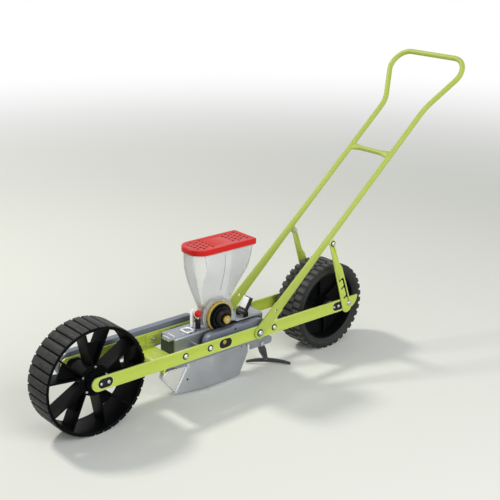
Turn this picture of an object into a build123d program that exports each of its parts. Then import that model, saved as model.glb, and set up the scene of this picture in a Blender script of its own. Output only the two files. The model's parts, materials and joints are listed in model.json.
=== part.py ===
from build123d import *
import math
import os

# Walk-behind seed planter, in millimetres.
# Pieces are drawn in the machine's own frame: the front axle is the origin, X points forward,
# Y to the left and Z up, with the side bars level. At the end everything is tilted so that the
# smaller rear wheel meets the ground too, and moved so that the origin is under the middle.

# Fits
running_gap = 0.05
slide_gap = 0.3
seat_gap = 0.1
bolt_gap = 0.15

# Front wheel
front_wheel_radius = 150.0
front_wheel_width = 88.0
cleat_count = 36
cleat_height = 3.5
cleat_length = 21.0
drum_thickness = 6.0
spoke_pairs = 5
spoke_spread = 31.0
spoke_turn = 26.0
spoke_thickness = 5.0
spoke_depth = 54.0
panel_share = 0.62
panel_thickness = 5.0
panel_y = 6.0
front_hub_radius = 30.0
hub_flange_radius = 43.0
hub_flange_thickness = 4.0
hub_screw_circle = 36.0
hub_screw_radius = 3.5
hub_screw_height = 2.2

# Rear wheel
rear_wheel_radius = 134.0
rear_wheel_width = 100.0
lug_count = 36
lug_height = 4.0
lug_length = 17.0
lug_groove = 4.0
lug_groove_y = 21.0
shoulder = 8.0
tyre_depth = 26.0
rim_thickness = 5.0
rim_rib_count = 6
rim_rib_skew = 24.0
rim_rib_depth = 30.0
rear_hub_radius = 24.0
web_thickness = 8.0

# Axles and shafts
axle_distance = 826.0
axle_radius = 6.0
spacer_radius = 10.0
blind_skin = 1.5

# Side bars
bar_inner = 73.0
bar_thickness = 5.0
bar_height = 37.0
bar_rise = 10.0
bar_front = 35.0
bar_rear = 911.0
slot_width = 46.0
slot_roof = 5.0
slot_corner = 14.0
slot_shift = 4.0
block_foot = 0.5
window_skin = 1.5
window_inset = 1.0
block_screw_radii = (4.0, 5.0)
block_screw_height = 3.0
front_screw_places = (9.5, -13.0)
rear_screw_places = (13.5, -4.5)

# Bolts through the bars
bolt_radius = 4.0
bolt_head_radius = 7.0
bolt_head_height = 4.0
bolt_nut_size = 13.0
bolt_nut_height = 5.0
bracket_bolt_x = -256.0
front_ear_bolt_x = -340.0
rear_ear_bolt_x = -572.0

# Front cross bracket
bracket_thickness = 4.0
bracket_front = -205.0
bracket_rear = -250.0
bracket_level = -7.0
bracket_lip_radius = 18.0
bracket_lip_drop = 2.0
bracket_tab_length = 48.0
bracket_tab_inset = 4.0
bracket_tab_corner = 10.0

# Drive
chain_pitch = 8.0
chain_width = 8.0
chain_thickness = 3.0
tooth_height = 2.6
wheel_sprocket_teeth = 24
driven_sprocket_teeth = 16
drive_sprocket_teeth = 16
metering_sprocket_teeth = 14
sprocket_thickness = 4.0
boss_wall = 4.0
boss_step = 2.5
jackshaft_x = -390.0
jackshaft_z = 14.0
case_wall = 2.5

# Front chain case, outside the right bar
front_case_inner = 83.0
front_case_depth = 21.0
front_case_front_radius = 39.0
front_case_rear_radius = 28.0
case_back_thickness = 2.0
case_spacer_radius = 6.0

# Rear chain case, inside the left bar
rear_case_inner = 43.5
rear_case_depth = 20.5
rear_case_radius = 28.5
rear_case_nose_x = -363.0
rear_case_end_x = -528.0
rear_case_z = 14.0
back_rim = 2.0

# Metering gears and roller
gear_module = 1.5
metering_gear_teeth = 46
roller_gear_teeth = 42
gear_thickness = 6.5
face_ring = 5.0
gear_play = 0.25
pressure_angle = 20.0
gear_y = 35.5
metering_shaft_z = 14.0
metering_shaft_radius = 5.0
bush_radius = 9.0
roller_x = -411.0
roller_z = 70.0
roller_radius = 42.0
roller_near = 33.0
roller_far = -7.0
roller_shaft_radius = 5.0
cell_count = 20
cell_rows = (0.0, 24.0)
cell_radius = 3.5
cell_depth = 3.0
roller_nut_radius = 12.0
roller_nut_lobes = 10
roller_nut_length = 23.0

# Housing
housing_half_width = 33.0
housing_front = -254.0
housing_rear = -566.0
housing_top = 44.0
housing_fold = 5.0
housing_bottom = -41.0
sheet = 3.0
ear_length = 52.0
ear_web_inset = 36.0
ear_inset = 3.0
ledge_length = 20.0
ledge_low = 0.0
ledge_high = 30.0
ledge_tab = 6.0
loop_x = -314.0
loop_y = 8.0
loop_length = 34.0
loop_width = 36.0
loop_border = 8.0

# Opener shoe, strap and arm
flange_thickness = 4.0
flange_front = -325.0
flange_rear = -520.0
shoe_rake = 58.0
shoe_half_width = 25.0
shoe_taper_length = 90.0
shoe_nose = 8.0
shoe_ground_gap = 5.0
shoe_setback = 8.0
shoe_heel_rise = 27.0
shoe_heel_length = 32.0
drop_front = 20.0
drop_rear = 50.0
drop_half_width = 18.0
strap_width = 14.0
strap_thickness = 4.5
strap_reach = 44.0
strap_crown = 6.0
arm_length = 95.0
arm_height = 24.0
arm_half_width = 21.0

# Coverer
coverer_pin_x = -577.0
coverer_pin_drop = 15.0
coverer_pin_radius = 4.0
coverer_pin_head = 7.0
coverer_eye_wall = 5.0
coverer_y = 11.0
coverer_stem_width = 22.0
coverer_stem_thickness = 7.0
coverer_stem_back = 25.0
coverer_stem_drop = 56.0
bow_left = 74.0
bow_right = 58.0
bow_skew = 45.0
bow_height = 12.0
bow_tip_height = 6.0
bow_thickness = 5.0
bow_drop = 11.0

# Seed box and hopper
box_front = -364.0
box_rear = -459.0
box_half_width = 16.0
box_top = 96.0
box_corner = 8.0
box_wall = 2.5
port_gap = 1.5
port_rim = 9.5
port_depth = 7.0
hopper_knee_z = 200.0
hopper_knee_x = -507.0
hopper_curve_z = 240.0
hopper_curve_steps = 6
hopper_top = 276.0
hopper_front = -325.0
hopper_rear = -522.0
hopper_half_width = 45.0
hopper_wall = 2.5
hopper_front_corner = 36.0
hopper_rear_corner = 8.0
rim_flange = 2.5
rim_flange_height = 3.0
lid_overhang = 3.0
lid_height = 15.0
lid_wall = 3.0
dimple_radius = 4.2
dimple_depth = 1.6
dimple_inset = 44.0
dimple_spacing = 15.0
dimple_rows = 4
dimple_columns = 5

# Plunger and latch
knob_radius = 10.0
knob_x = -350.0
knob_y = 10.0
knob_z = 86.0
sleeve_radius = 7.5
sleeve_height = 28.0
strip_width = 11.0
strip_thickness = 3.0
strip_rise = 52.0
strip_ahead = 10.0
strip_behind = 14.5
plunger_radius = 4.0
latch_x = -505.0
latch_rise = 10.5
latch_y = 14.5
latch_width = 28.0
latch_length = 44.0
latch_lean = 31.0
latch_thickness = 12.0
latch_face_thickness = 2.0
latch_pin_radius = 3.0
cheek_thickness = 4.0
cheek_radius = 8.0

# Handle
tube_radius = 8.0
handle_pivot_x = -514.6
handle_angle = 40.8
handle_flat_width = 36.0
handle_flat_thickness = 5.0
handle_flat_length = 95.0
handle_neck_length = 370.0
handle_spare_hole = 78.0
handle_straight = 860.0
grip_back = 116.0
grip_rise = 140.0
grip_half_width = 168.0
shoulder_radius = 110.0
grip_corner_radius = 52.0
pivot_bolt_radius = 5.0
pivot_head_radius = 9.0
pivot_head_height = 5.0
pivot_nut_size = 16.0
pivot_nut_height = 7.0
crossbar_along = 668.0
crossbar_radius = 7.5
crossbar_flat = 38.0
crossbar_paddle = 28.0
crossbar_end = 7.0

# Struts
strut_thickness = 4.0
strut_along = 343.6
strut_offset = 22.0
lug_width = 20.0
strut_pin_x = -872.0
strut_pin_radius = 3.0
strut_pin_head = 7.5
strut_pin_collar = 6.0
strut_slot_width = 7.0
strut_slot_length = 93.0
strut_slot_offset = 8.0
strut_notch_rise = (31.0, 66.0, 93.0)
strut_notch_reach = 13.0
strut_top_radius = 8.5
strut_front_reach = 20.0
strut_rear_strip = 4.0
strut_foot = 6.0
strut_shoulder = 72.0

# Sizes that follow from those above
bar_outer = bar_inner + bar_thickness
rear_hub_half = rear_wheel_width / 2 - 12.0
bar_bottom = bar_rise - bar_height / 2
bar_top = bar_rise + bar_height / 2
tilt = math.degrees(math.asin((front_wheel_radius - rear_wheel_radius) / axle_distance))
shaft_end = front_case_inner + front_case_depth - case_wall - 1.0
handle_low = bar_outer + slide_gap
handle_high = handle_low + handle_flat_thickness
handle_y = (handle_low + handle_high) / 2
strut_low = bar_outer + slide_gap
strut_high = strut_low + strut_thickness
lid_front = hopper_front + lid_wall + lid_overhang
lid_rear = hopper_rear - lid_wall - lid_overhang
lid_half_width = hopper_half_width + lid_wall + slide_gap + 1.0
lid_top = hopper_top + slide_gap + lid_wall
shoe_top = housing_bottom - flange_thickness
gear_distance = gear_module * (metering_gear_teeth + roller_gear_teeth) / 2
metering_shaft_x = roller_x - math.sqrt(gear_distance**2 - (roller_z - metering_shaft_z)**2)
rear_case_outer = rear_case_inner + rear_case_depth
rear_chain_y = rear_case_inner + rear_case_depth / 2
front_chain_y = -(front_case_inner + front_case_depth / 2)
coverer_pin_z = shoe_top - sheet - coverer_pin_drop


def polar(radius, degrees):
    """A point at a radius and an angle, as a pair."""
    turn = math.radians(degrees)
    return (radius * math.cos(turn), radius * math.sin(turn))


def outline(*points):
    """A closed straight-sided outline."""
    return make_face(Polyline(*points, close=True))


def strip(start, end, thickness):
    """A straight bar of even thickness between two points, as an outline."""
    run = Vector(*end) - Vector(*start)
    middle = (Vector(*end) + Vector(*start)) / 2
    turn = math.degrees(math.atan2(run.Y, run.X))
    return Pos(middle.X, middle.Y) * Rot(0, 0, turn) * Rectangle(run.length, thickness)


def plate(shape, y_low, y_high):
    """An outline drawn along X and up Z, as a plate between two widths."""
    return extrude(Plane.XZ.offset(-y_high) * shape, amount=y_high - y_low)


def cross_plate(shape, x_low, x_high):
    """An outline drawn along Y and up Z, as a plate between two lengths."""
    return extrude(Plane.YZ.offset(x_low) * shape, amount=x_high - x_low)


def block(x_low, x_high, y_low, y_high, z_low, z_high):
    """A box between the given limits."""
    centre = Pos((x_low + x_high) / 2, (y_low + y_high) / 2, (z_low + z_high) / 2)
    return centre * Box(x_high - x_low, y_high - y_low, z_high - z_low)


def rod(x, z, radius, y_low, y_high):
    """A round rod across the machine."""
    return plate(Pos(x, z) * Circle(radius), y_low, y_high)


def ring(x, z, outer, inner, y_low, y_high):
    """A round tube across the machine."""
    return plate(Pos(x, z) * (Circle(outer) - Circle(inner)), y_low, y_high)


def hex_nut(x, z, size, inner, y_low, y_high):
    """A hexagon nut across the machine; size is over its flats."""
    shape = Rot(0, 0, 30) * RegularPolygon(size / math.sqrt(3), 6) - Circle(inner)
    return plate(Pos(x, z) * shape, y_low, y_high)


def upright(x, y, radius, z_low, z_high):
    """A round rod standing up."""
    return extrude(Plane.XY.offset(z_low) * Pos(x, y) * Circle(radius), amount=z_high - z_low)


def other_side(shape):
    """The same piece on the right side of the machine."""
    return mirror(shape, about=Plane.XZ)


def both_sides(shape):
    """A left-hand piece and its mirror."""
    return [shape, other_side(shape)]


def belt(first, first_radius, second, second_radius):
    """The outline of a band round two circles."""
    circles = (Pos(*first) * Circle(first_radius)).edges() + (Pos(*second) * Circle(second_radius)).edges()
    return make_hull(circles)


def pitch_radius(teeth):
    """The pitch radius of a sprocket for the chain."""
    return chain_pitch / (2 * math.sin(math.pi / teeth))


def sprocket_outline(teeth):
    """A chain sprocket with tapered teeth."""
    root = pitch_radius(teeth) - tooth_height / 2
    tip = root + tooth_height
    half_root = chain_pitch * 0.3
    half_tip = chain_pitch * 0.14
    tooth = outline((root - 1, -half_root), (tip, -half_tip), (tip, half_tip), (root - 1, half_root))
    return Circle(root) + [Rot(0, 0, 360 / teeth * number) * tooth for number in range(teeth)]


def gear_outline(teeth):
    """A spur gear with involute flanks drawn by four points each."""
    pitch = gear_module * teeth / 2
    base = pitch * math.cos(math.radians(pressure_angle))
    root = pitch - 1.25 * gear_module
    tip = pitch + gear_module
    start = max(base, root)
    flat = math.tan(math.radians(pressure_angle)) - math.radians(pressure_angle)
    half_at_pitch = math.pi / (2 * teeth) - gear_play / (2 * pitch)
    flank = [(root, half_at_pitch + flat)]
    for step in range(4):
        radius = start + (tip - start) * step / 3
        roll = math.acos(min(1.0, base / radius))
        flank.append((radius, half_at_pitch + flat - (math.tan(roll) - roll)))
    flank = [point for number, point in enumerate(flank) if number == 0 or point[0] > root + 0.01]
    points = []
    for number in range(teeth):
        middle = 2 * math.pi * number / teeth
        rising = [(radius, middle - half) for radius, half in flank]
        falling = [(radius, middle + half) for radius, half in reversed(flank)]
        points += [polar(radius, math.degrees(turn)) for radius, turn in rising + falling]
    return outline(*points)


def front_wheel():
    """Drum with cleats, V-paired spokes with a panel in each V, and a flanged hub."""
    half = front_wheel_width / 2
    drum_outer = front_wheel_radius - cleat_height
    drum_inner = drum_outer - drum_thickness
    root = drum_outer - drum_thickness / 2
    cleat = Pos((front_wheel_radius + root) / 2, 0) * Rectangle(front_wheel_radius - root, cleat_length)
    cleats = [Rot(0, 0, 360 / cleat_count * number) * cleat for number in range(cleat_count)]
    drum = plate(Circle(drum_outer) + cleats - Circle(drum_inner), -half, half)
    arms = []
    panels = []
    for number in range(spoke_pairs):
        middle = spoke_turn + 360 / spoke_pairs * number
        apex = polar(front_hub_radius - spoke_thickness, middle)
        corners = [apex]
        for side in (-1, 1):
            foot = polar(drum_inner + drum_thickness / 2, middle + side * spoke_spread / 2)
            arms.append(strip(apex, foot, spoke_thickness))
            corners.append(tuple(a + (b - a) * panel_share for a, b in zip(apex, foot)))
        panels.append(outline(*corners))
    spokes = plate(Circle(front_hub_radius) + arms, -spoke_depth / 2, spoke_depth / 2)
    panel_half = panel_thickness / 2
    spokes += plate(Circle(front_hub_radius) + panels, panel_y - panel_half, panel_y + panel_half)
    hub = rod(0, 0, front_hub_radius, -half, half)
    flange = rod(0, 0, hub_flange_radius, spoke_depth / 2, spoke_depth / 2 + hub_flange_thickness)
    bore = rod(0, 0, axle_radius + running_gap, -half - 1, half + 1)
    return drum + spokes + hub + flange - bore


def hub_screws():
    """Screw heads on the hub flange, one on each spoke pair."""
    face = spoke_depth / 2 + hub_flange_thickness
    screws = []
    for number in range(spoke_pairs):
        x, z = polar(hub_screw_circle, spoke_turn + 360 / spoke_pairs * number)
        head = rod(x, z, hub_screw_radius, face, face + hub_screw_height)
        screws.append(fillet(head.edges().group_by(Axis.Y)[-1], hub_screw_height / 2))
    return screws


def axle_spacers(x, half_width):
    """Tubes on an axle that keep a wheel midway between the bars."""
    spacer = ring(x, 0, spacer_radius, axle_radius + running_gap, half_width, bar_inner - slide_gap)
    return both_sides(spacer)


def sprocket(x, z, teeth, y_middle, shaft_radius):
    """A sprocket on its shaft with a boss on each side."""
    disc = sprocket_outline(teeth)
    half = sprocket_thickness / 2
    boss = Circle(shaft_radius + boss_wall)
    body = plate(Pos(x, z) * disc, y_middle - half, y_middle + half)
    body += plate(Pos(x, z) * boss, y_middle - half - boss_step, y_middle + half + boss_step)
    reach = half + 2 * boss_step
    return body - rod(x, z, shaft_radius + running_gap, y_middle - reach, y_middle + reach)


def chain_loop(first, first_teeth, second, second_teeth, y_middle):
    """A chain as a plain band just outside the tips of the sprocket teeth."""
    inner_first = pitch_radius(first_teeth) + tooth_height / 2 + slide_gap
    inner_second = pitch_radius(second_teeth) + tooth_height / 2 + slide_gap
    outer = belt(first, inner_first + chain_thickness, second, inner_second + chain_thickness)
    inner = belt(first, inner_first, second, inner_second)
    return plate(outer - inner, y_middle - chain_width / 2, y_middle + chain_width / 2)


def rear_tyre():
    """Tyre with a middle row of lugs and a staggered row on each shoulder."""
    half = rear_wheel_width / 2
    carcass_radius = rear_wheel_radius - lug_height
    inner = carcass_radius - tyre_depth
    bulge = carcass_radius - 1.5 * shoulder
    section = outline(
        (inner, -half + shoulder), (bulge, -half), (carcass_radius, -half + shoulder),
        (carcass_radius, half - shoulder), (bulge, half), (inner, half - shoulder))
    carcass = revolve(section, Axis.Y)
    root = carcass_radius - shoulder / 2
    taper = lug_length * 0.14
    lug = outline(
        (root, -lug_length / 2), (rear_wheel_radius, -lug_length / 2 + taper),
        (rear_wheel_radius, lug_length / 2 - taper), (root, lug_length / 2))
    pitch = 360 / lug_count
    rows = []
    for start, low, high in (
            (90, -lug_groove_y + lug_groove / 2, lug_groove_y - lug_groove / 2),
            (90 + pitch / 2, lug_groove_y + lug_groove / 2, half - shoulder / 2),
            (90 + pitch / 2, -half + shoulder / 2, -lug_groove_y - lug_groove / 2)):
        lugs = [Rot(0, 0, start + pitch * number) * lug for number in range(lug_count)]
        rows.append(plate(Circle(root + 1) + lugs - Circle(inner + shoulder), low, high))
    return carcass + rows


def rear_rim():
    """Dished rim with low skewed ribs and a long hub."""
    half = rear_wheel_width / 2
    outer = rear_wheel_radius - lug_height - tyre_depth - seat_gap
    inner = outer - rim_thickness
    barrel = ring(0, 0, outer, inner, -half + shoulder, half - shoulder)
    web = rod(0, 0, inner + 1, -web_thickness / 2, web_thickness / 2)
    hub = rod(0, 0, rear_hub_radius, -rear_hub_half, rear_hub_half)
    ribs = []
    for number in range(rim_rib_count):
        turn = 360 / rim_rib_count * number
        foot = polar(inner + rim_thickness / 2, turn + rim_rib_skew)
        ribs.append(strip(polar(rear_hub_radius - rim_thickness, turn), foot, rim_thickness))
    arms = plate(Circle(rear_hub_radius - 1) + ribs, -rim_rib_depth / 2, rim_rib_depth / 2)
    return barrel + web + hub + arms - rod(0, 0, axle_radius + running_gap, -half, half)


def bar_slot(x):
    """The slot for a bearing block, open at the lower edge of the bar."""
    top = bar_top - slot_roof
    low = bar_bottom - slot_corner * 2
    shape = Pos(x - slot_shift, (top + low) / 2) * RectangleRounded(slot_width, top - low, slot_corner)
    return shape


def bar_window(x):
    """The round-ended window through which a bearing block shows on the outside of the bar."""
    height = bar_height - 2 * slot_roof
    length = slot_width - 2 * window_inset
    return Pos(x - slot_shift, bar_rise) * RectangleRounded(length, height, height * 0.48)


def side_bar(windows):
    """The left bar: round nose, quarter-round tail, bolt holes, and slots that end in windows outside."""
    radius = bar_height / 2
    shape = outline(
        (bar_front - radius, bar_bottom), (bar_front - radius, bar_top),
        (-bar_rear, bar_top), (-bar_rear + bar_height, bar_bottom))
    shape += Pos(bar_front - radius, bar_rise) * Circle(radius)
    tail = Pos(-bar_rear + bar_height, bar_top) * Circle(bar_height)
    below = Pos(-bar_rear, bar_rise) * Rectangle(2 * bar_height, bar_height)
    shape += tail & below
    for x in (bracket_bolt_x, front_ear_bolt_x, rear_ear_bolt_x):
        shape -= Pos(x, bar_rise) * Circle(bolt_radius + bolt_gap)
    shape -= Pos(handle_pivot_x, bar_rise) * Circle(pivot_bolt_radius + bolt_gap)
    shape -= Pos(strut_pin_x, bar_rise) * Circle(strut_pin_radius + bolt_gap)
    inside = shape
    outside = shape
    for x in (0, jackshaft_x, -axle_distance):
        inside -= bar_slot(x)
        outside -= bar_window(x) if x in windows else bar_slot(x)
    face = bar_outer - window_skin
    return plate(inside, bar_inner, face) + plate(outside, face, bar_outer)


def bearing_block(x, z, radius, skin=0.0, window=True):
    """A block that fills a slot in the left bar and carries a shaft, hidden by a skin if one is given."""
    floor = bar_bottom - block_foot
    below = Pos(x, floor - bar_height) * Rectangle(3 * slot_width, 2 * bar_height)
    shape = offset(bar_slot(x), -seat_gap) - below
    body = plate(shape, bar_inner, bar_outer - window_skin)
    face = offset(bar_window(x), -seat_gap) if window else shape
    body += plate(face, bar_outer - window_skin, bar_outer)
    bore_end = bar_outer - skin if skin > 0 else bar_outer + 1
    return body - rod(x, z, radius + running_gap, bar_inner - 1, bore_end)


def block_screws(x, places):
    """The two round-headed screws that hold a block, side by side on the bar's middle line."""
    screws = []
    for place, radius in zip(places, block_screw_radii):
        head = rod(x + place, bar_rise, radius, bar_outer, bar_outer + block_screw_height)
        screws.append(fillet(head.edges().group_by(Axis.Y)[-1], block_screw_height / 2))
    return screws


def bar_bolt(x, inner_face):
    """A round-headed bolt through the left bar with its nut on the piece it holds."""
    head = rod(x, bar_rise, bolt_head_radius, bar_outer, bar_outer + bolt_head_height)
    head = fillet(head.edges().group_by(Axis.Y)[-1], bolt_head_height * 0.7)
    shank = rod(x, bar_rise, bolt_radius, inner_face - bolt_nut_height - seat_gap, bar_outer)
    nut = hex_nut(x, bar_rise, bolt_nut_size, bolt_radius, inner_face - bolt_nut_height, inner_face)
    return head + shank + nut


def front_cross_bracket():
    """Bent plate between the bars with a rolled front lip and two upright tabs."""
    low = bracket_level - bracket_thickness / 2
    high = bracket_level + bracket_thickness / 2
    centre_z = low - bracket_lip_radius + bracket_thickness
    outer = Pos(bracket_front, centre_z) * Circle(bracket_lip_radius)
    inner = Pos(bracket_front, centre_z) * Circle(bracket_lip_radius - bracket_thickness)
    corner = Pos(bracket_front + bracket_lip_radius, centre_z + bracket_lip_radius)
    quarter = corner * Rectangle(2 * bracket_lip_radius, 2 * bracket_lip_radius)
    lip_x = bracket_front + bracket_lip_radius
    shape = (outer - inner) & quarter
    shape += Pos((bracket_front + bracket_rear) / 2, bracket_level) * Rectangle(
        bracket_front - bracket_rear, bracket_thickness)
    shape += Pos(lip_x - bracket_thickness / 2, centre_z - bracket_lip_drop / 2) * Rectangle(
        bracket_thickness, bracket_lip_drop)
    body = plate(shape, -bar_inner, bar_inner)
    tab_middle = bracket_bolt_x
    top = bar_top - bracket_tab_inset
    tab = Pos(tab_middle, (low + top) / 2) * Rectangle(bracket_tab_length, top - low)
    tab = fillet(tab.vertices().group_by(Axis.Y)[-1], bracket_tab_corner)
    tab -= Pos(bracket_bolt_x, bar_rise) * Circle(bolt_radius + bolt_gap)
    for piece in both_sides(plate(tab, bar_inner - bracket_thickness, bar_inner)):
        body += piece
    return body


def front_case_pieces():
    """Tray, backplate and spacers of the chain case outside the right bar."""
    jack = (jackshaft_x, jackshaft_z)
    shell = belt((0, 0), front_case_front_radius, jack, front_case_rear_radius)
    hollow = belt((0, 0), front_case_front_radius - case_wall, jack, front_case_rear_radius - case_wall)
    back = front_case_inner + case_back_thickness
    outer_face = front_case_inner + front_case_depth
    tray = plate(shell, back, outer_face) - plate(hollow, back - 1, outer_face - case_wall)
    tray = fillet(tray.edges().group_by(Axis.Y)[-1], case_wall * 0.8)
    passages = Circle(axle_radius + port_gap) + Pos(*jack) * Circle(axle_radius + port_gap)
    rear_plate = plate(shell - passages, front_case_inner, back)
    spacers = []
    for share in (0.22, 0.5, 0.8):
        spacers.append(rod(jackshaft_x * share, bar_rise, case_spacer_radius, bar_outer, front_case_inner))
    return other_side(tray), other_side(rear_plate), [other_side(piece) for piece in spacers]


def rear_case_pieces():
    """Cover, backplate and spacers of the chain case inside the left bar."""
    nose = (rear_case_nose_x, rear_case_z)
    end = (rear_case_end_x, rear_case_z)
    back = rear_case_inner + case_back_thickness
    shell = belt(nose, rear_case_radius, end, rear_case_radius)
    hollow = belt(nose, rear_case_radius - case_wall, end, rear_case_radius - case_wall)
    cover = plate(shell, back, rear_case_outer) - plate(hollow, back - 1, rear_case_outer - case_wall)
    cover = fillet(cover.edges().group_by(Axis.Y)[-1], case_wall * 0.8)
    cover -= rod(jackshaft_x, jackshaft_z, axle_radius + port_gap, back, rear_case_outer + 1)
    boss_low = rear_chain_y + sprocket_thickness / 2 + boss_step + slide_gap
    boss = ring(metering_shaft_x, metering_shaft_z, bush_radius, metering_shaft_radius + running_gap,
                boss_low, rear_case_outer - case_wall)
    cover += boss
    plate_shape = belt(nose, rear_case_radius + back_rim, end, rear_case_radius + back_rim)
    plate_shape -= Pos(jackshaft_x, jackshaft_z) * Circle(axle_radius + port_gap)
    plate_shape -= Pos(metering_shaft_x, metering_shaft_z) * Circle(bush_radius + seat_gap)
    backplate = plate(plate_shape, rear_case_inner, back)
    bush = ring(metering_shaft_x, metering_shaft_z, bush_radius, metering_shaft_radius + running_gap,
                rear_case_inner, back + 1)
    spacers = []
    low = rear_case_z - rear_case_radius / 2
    gear_rear = metering_shaft_x - gear_module * (metering_gear_teeth / 2 + 1)
    first = rear_case_nose_x + case_spacer_radius
    for x in (first, gear_rear - 2 * case_spacer_radius, rear_case_end_x - case_spacer_radius):
        spacers.append(rod(x, low, case_spacer_radius, housing_half_width, rear_case_inner))
    return cover, backplate, [bush], spacers


def roller_well(level):
    """Half the length of an opening that the roller dips through, by the level of its upper edge."""
    return math.sqrt(roller_radius**2 - (roller_z - level)**2) + port_gap


def opener_housing():
    """Sheet box with folded top edges under the seed box, ears to the bars and small brackets in front."""
    half = housing_half_width
    body = block(housing_rear, housing_front, -half, half, housing_bottom, housing_top)
    body = fillet(body.edges().filter_by(Axis.X).group_by(Axis.Z)[-1], housing_fold)
    hollow = block(housing_rear + sheet, housing_front - sheet, -half + sheet, half - sheet,
                   housing_bottom - 1, housing_top - sheet)
    body -= fillet(hollow.edges().filter_by(Axis.X).group_by(Axis.Z)[-1], housing_fold - sheet)
    body -= rod(jackshaft_x, jackshaft_z, axle_radius + port_gap, -half - 1, half + 1)
    well = roller_well(housing_top)
    body -= block(roller_x - well, roller_x + well, roller_far - port_gap, roller_near,
                  housing_top - housing_fold - 1, housing_top + 1)
    body -= roller_port()
    body -= upright(knob_x, knob_y, plunger_radius + 1, housing_top - sheet - 1, housing_top + 1)
    for bolt_x, web_x in ((front_ear_bolt_x, front_ear_bolt_x + ear_web_inset),
                          (rear_ear_bolt_x, housing_rear + 1.5 * sheet)):
        low = bar_bottom + ear_inset
        high = bar_top - ear_inset
        ear = Pos(web_x - ear_length / 2, (low + high) / 2) * Rectangle(ear_length, high - low)
        ear -= Pos(bolt_x, bar_rise) * Circle(bolt_radius + bolt_gap)
        ear_plate = plate(ear, bar_inner - sheet, bar_inner)
        web = block(web_x - sheet, web_x, half - sheet, bar_inner, low, high)
        for piece in both_sides(ear_plate + web):
            body += piece
    body += block(housing_front - sheet, housing_front + ledge_length, ledge_low, ledge_high,
                  housing_top - sheet, housing_top)
    for x in (housing_front - sheet, housing_front + ledge_length - 2 * sheet):
        body += block(x, x + sheet, ledge_low, ledge_high, housing_top - sheet, housing_top + ledge_tab)
    loop = RectangleRounded(loop_length, loop_width, loop_border)
    loop -= RectangleRounded(loop_length - 2 * loop_border, loop_width - 2 * loop_border, loop_border / 2)
    return body + extrude(Plane.XY.offset(housing_top) * Pos(loop_x, loop_y) * loop, amount=sheet)


def ground_level(x):
    """The height of the ground below a point of the tilted machine."""
    return -front_wheel_radius - x * math.tan(math.radians(tilt))


def shoe_solid(shrink):
    """The wedge of the shoe, or the hollow inside it, raked forward as it goes down."""
    depth = shoe_top - ground_level(flange_front) - shoe_ground_gap
    nose_x = flange_front - shoe_setback - shrink * 4
    half = shoe_half_width - shrink
    nose = max(shoe_nose / 2 - shrink, 0.6)
    long = flange_rear - 60
    shape = outline(
        (nose_x, -nose), (nose_x - shoe_taper_length, -half), (long, -half),
        (long, half), (nose_x - shoe_taper_length, half), (nose_x, nose))
    rake = Vector(shoe_rake, 0, -depth)
    start = Plane.XY.offset(shoe_top)
    return extrude(start * shape, amount=rake.length, dir=rake.normalized())


def opener_shoe():
    """Flange and two converging plates, open behind."""
    bottom_front = ground_level(flange_front) + shoe_ground_gap
    bottom_rear = ground_level(flange_rear) + shoe_ground_gap
    ahead = flange_front + 2 * shoe_rake
    side = outline(
        (ahead, shoe_top + 1), (ahead, bottom_front), (flange_rear + shoe_heel_length, bottom_rear),
        (flange_rear, shoe_top - shoe_heel_rise), (flange_rear, shoe_top + 1))
    wings = (shoe_solid(0) - shoe_solid(sheet)) & plate(side, -100, 100)
    half = housing_half_width
    flange = block(flange_rear, flange_front, -half, half, shoe_top, housing_bottom)
    flange -= block(roller_x - drop_rear, roller_x + drop_front, -drop_half_width, drop_half_width,
                    shoe_top - 1, housing_bottom + 1)
    return wings + flange


def shoe_guard_strap():
    """Flat loop strap ahead of the shoe."""
    top_z = shoe_top - 21
    low_z = ground_level(flange_front) + shoe_ground_gap + strap_thickness
    nose = flange_front - shoe_setback
    slope = shoe_rake / (shoe_top - low_z)
    top_x = nose + slope * (shoe_top - top_z)
    low_x = nose + shoe_rake
    front = low_x + strap_reach
    crown = top_z + strap_crown
    points = [(top_x - 4, top_z), (top_x * 0.6 + front * 0.4, crown - 1), (front - 24, crown),
              (front - 10, crown - 3), (front - 3, crown - 8), (front, crown - 14), (front - 2, crown - 19),
              (low_x - 4, low_z)]
    shape = Sketch()
    for start, end in zip(points, points[1:]):
        shape += strip(start, end, strap_thickness)
        shape += Pos(*end) * Circle(strap_thickness / 2)
    return plate(shape, -strap_width / 2, strap_width / 2) - shoe_solid(0)


def coverer_arm():
    """Channel behind the shoe that carries the coverer."""
    front = flange_rear + 26
    rear = flange_rear - arm_length
    top = shoe_top
    web = block(rear + 8, front, -arm_half_width, arm_half_width, top - sheet, top)
    shape = Pos((rear + flange_rear - 12) / 2, top - arm_height / 2) * Rectangle(
        flange_rear - 12 - rear, arm_height)
    shape = fillet(shape.vertices().group_by(Axis.X)[0], 9)
    shape -= Pos(coverer_pin_x, coverer_pin_z) * Circle(coverer_pin_radius + seat_gap)
    side = plate(shape, arm_half_width - sheet, arm_half_width)
    body = web
    for piece in both_sides(side):
        body += piece
    return body


def coverer_pin():
    """Pin through the arm with a head at each end."""
    half = arm_half_width + 3
    pin = rod(coverer_pin_x, coverer_pin_z, coverer_pin_radius, -half, half)
    pin += rod(coverer_pin_x, coverer_pin_z, coverer_pin_head, arm_half_width, half)
    pin += rod(coverer_pin_x, coverer_pin_z, coverer_pin_head, -half, -arm_half_width)
    return pin


def coverer_foot():
    """Where the stem meets the bow."""
    return (coverer_pin_x - coverer_stem_back, coverer_pin_z - coverer_stem_drop)


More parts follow.
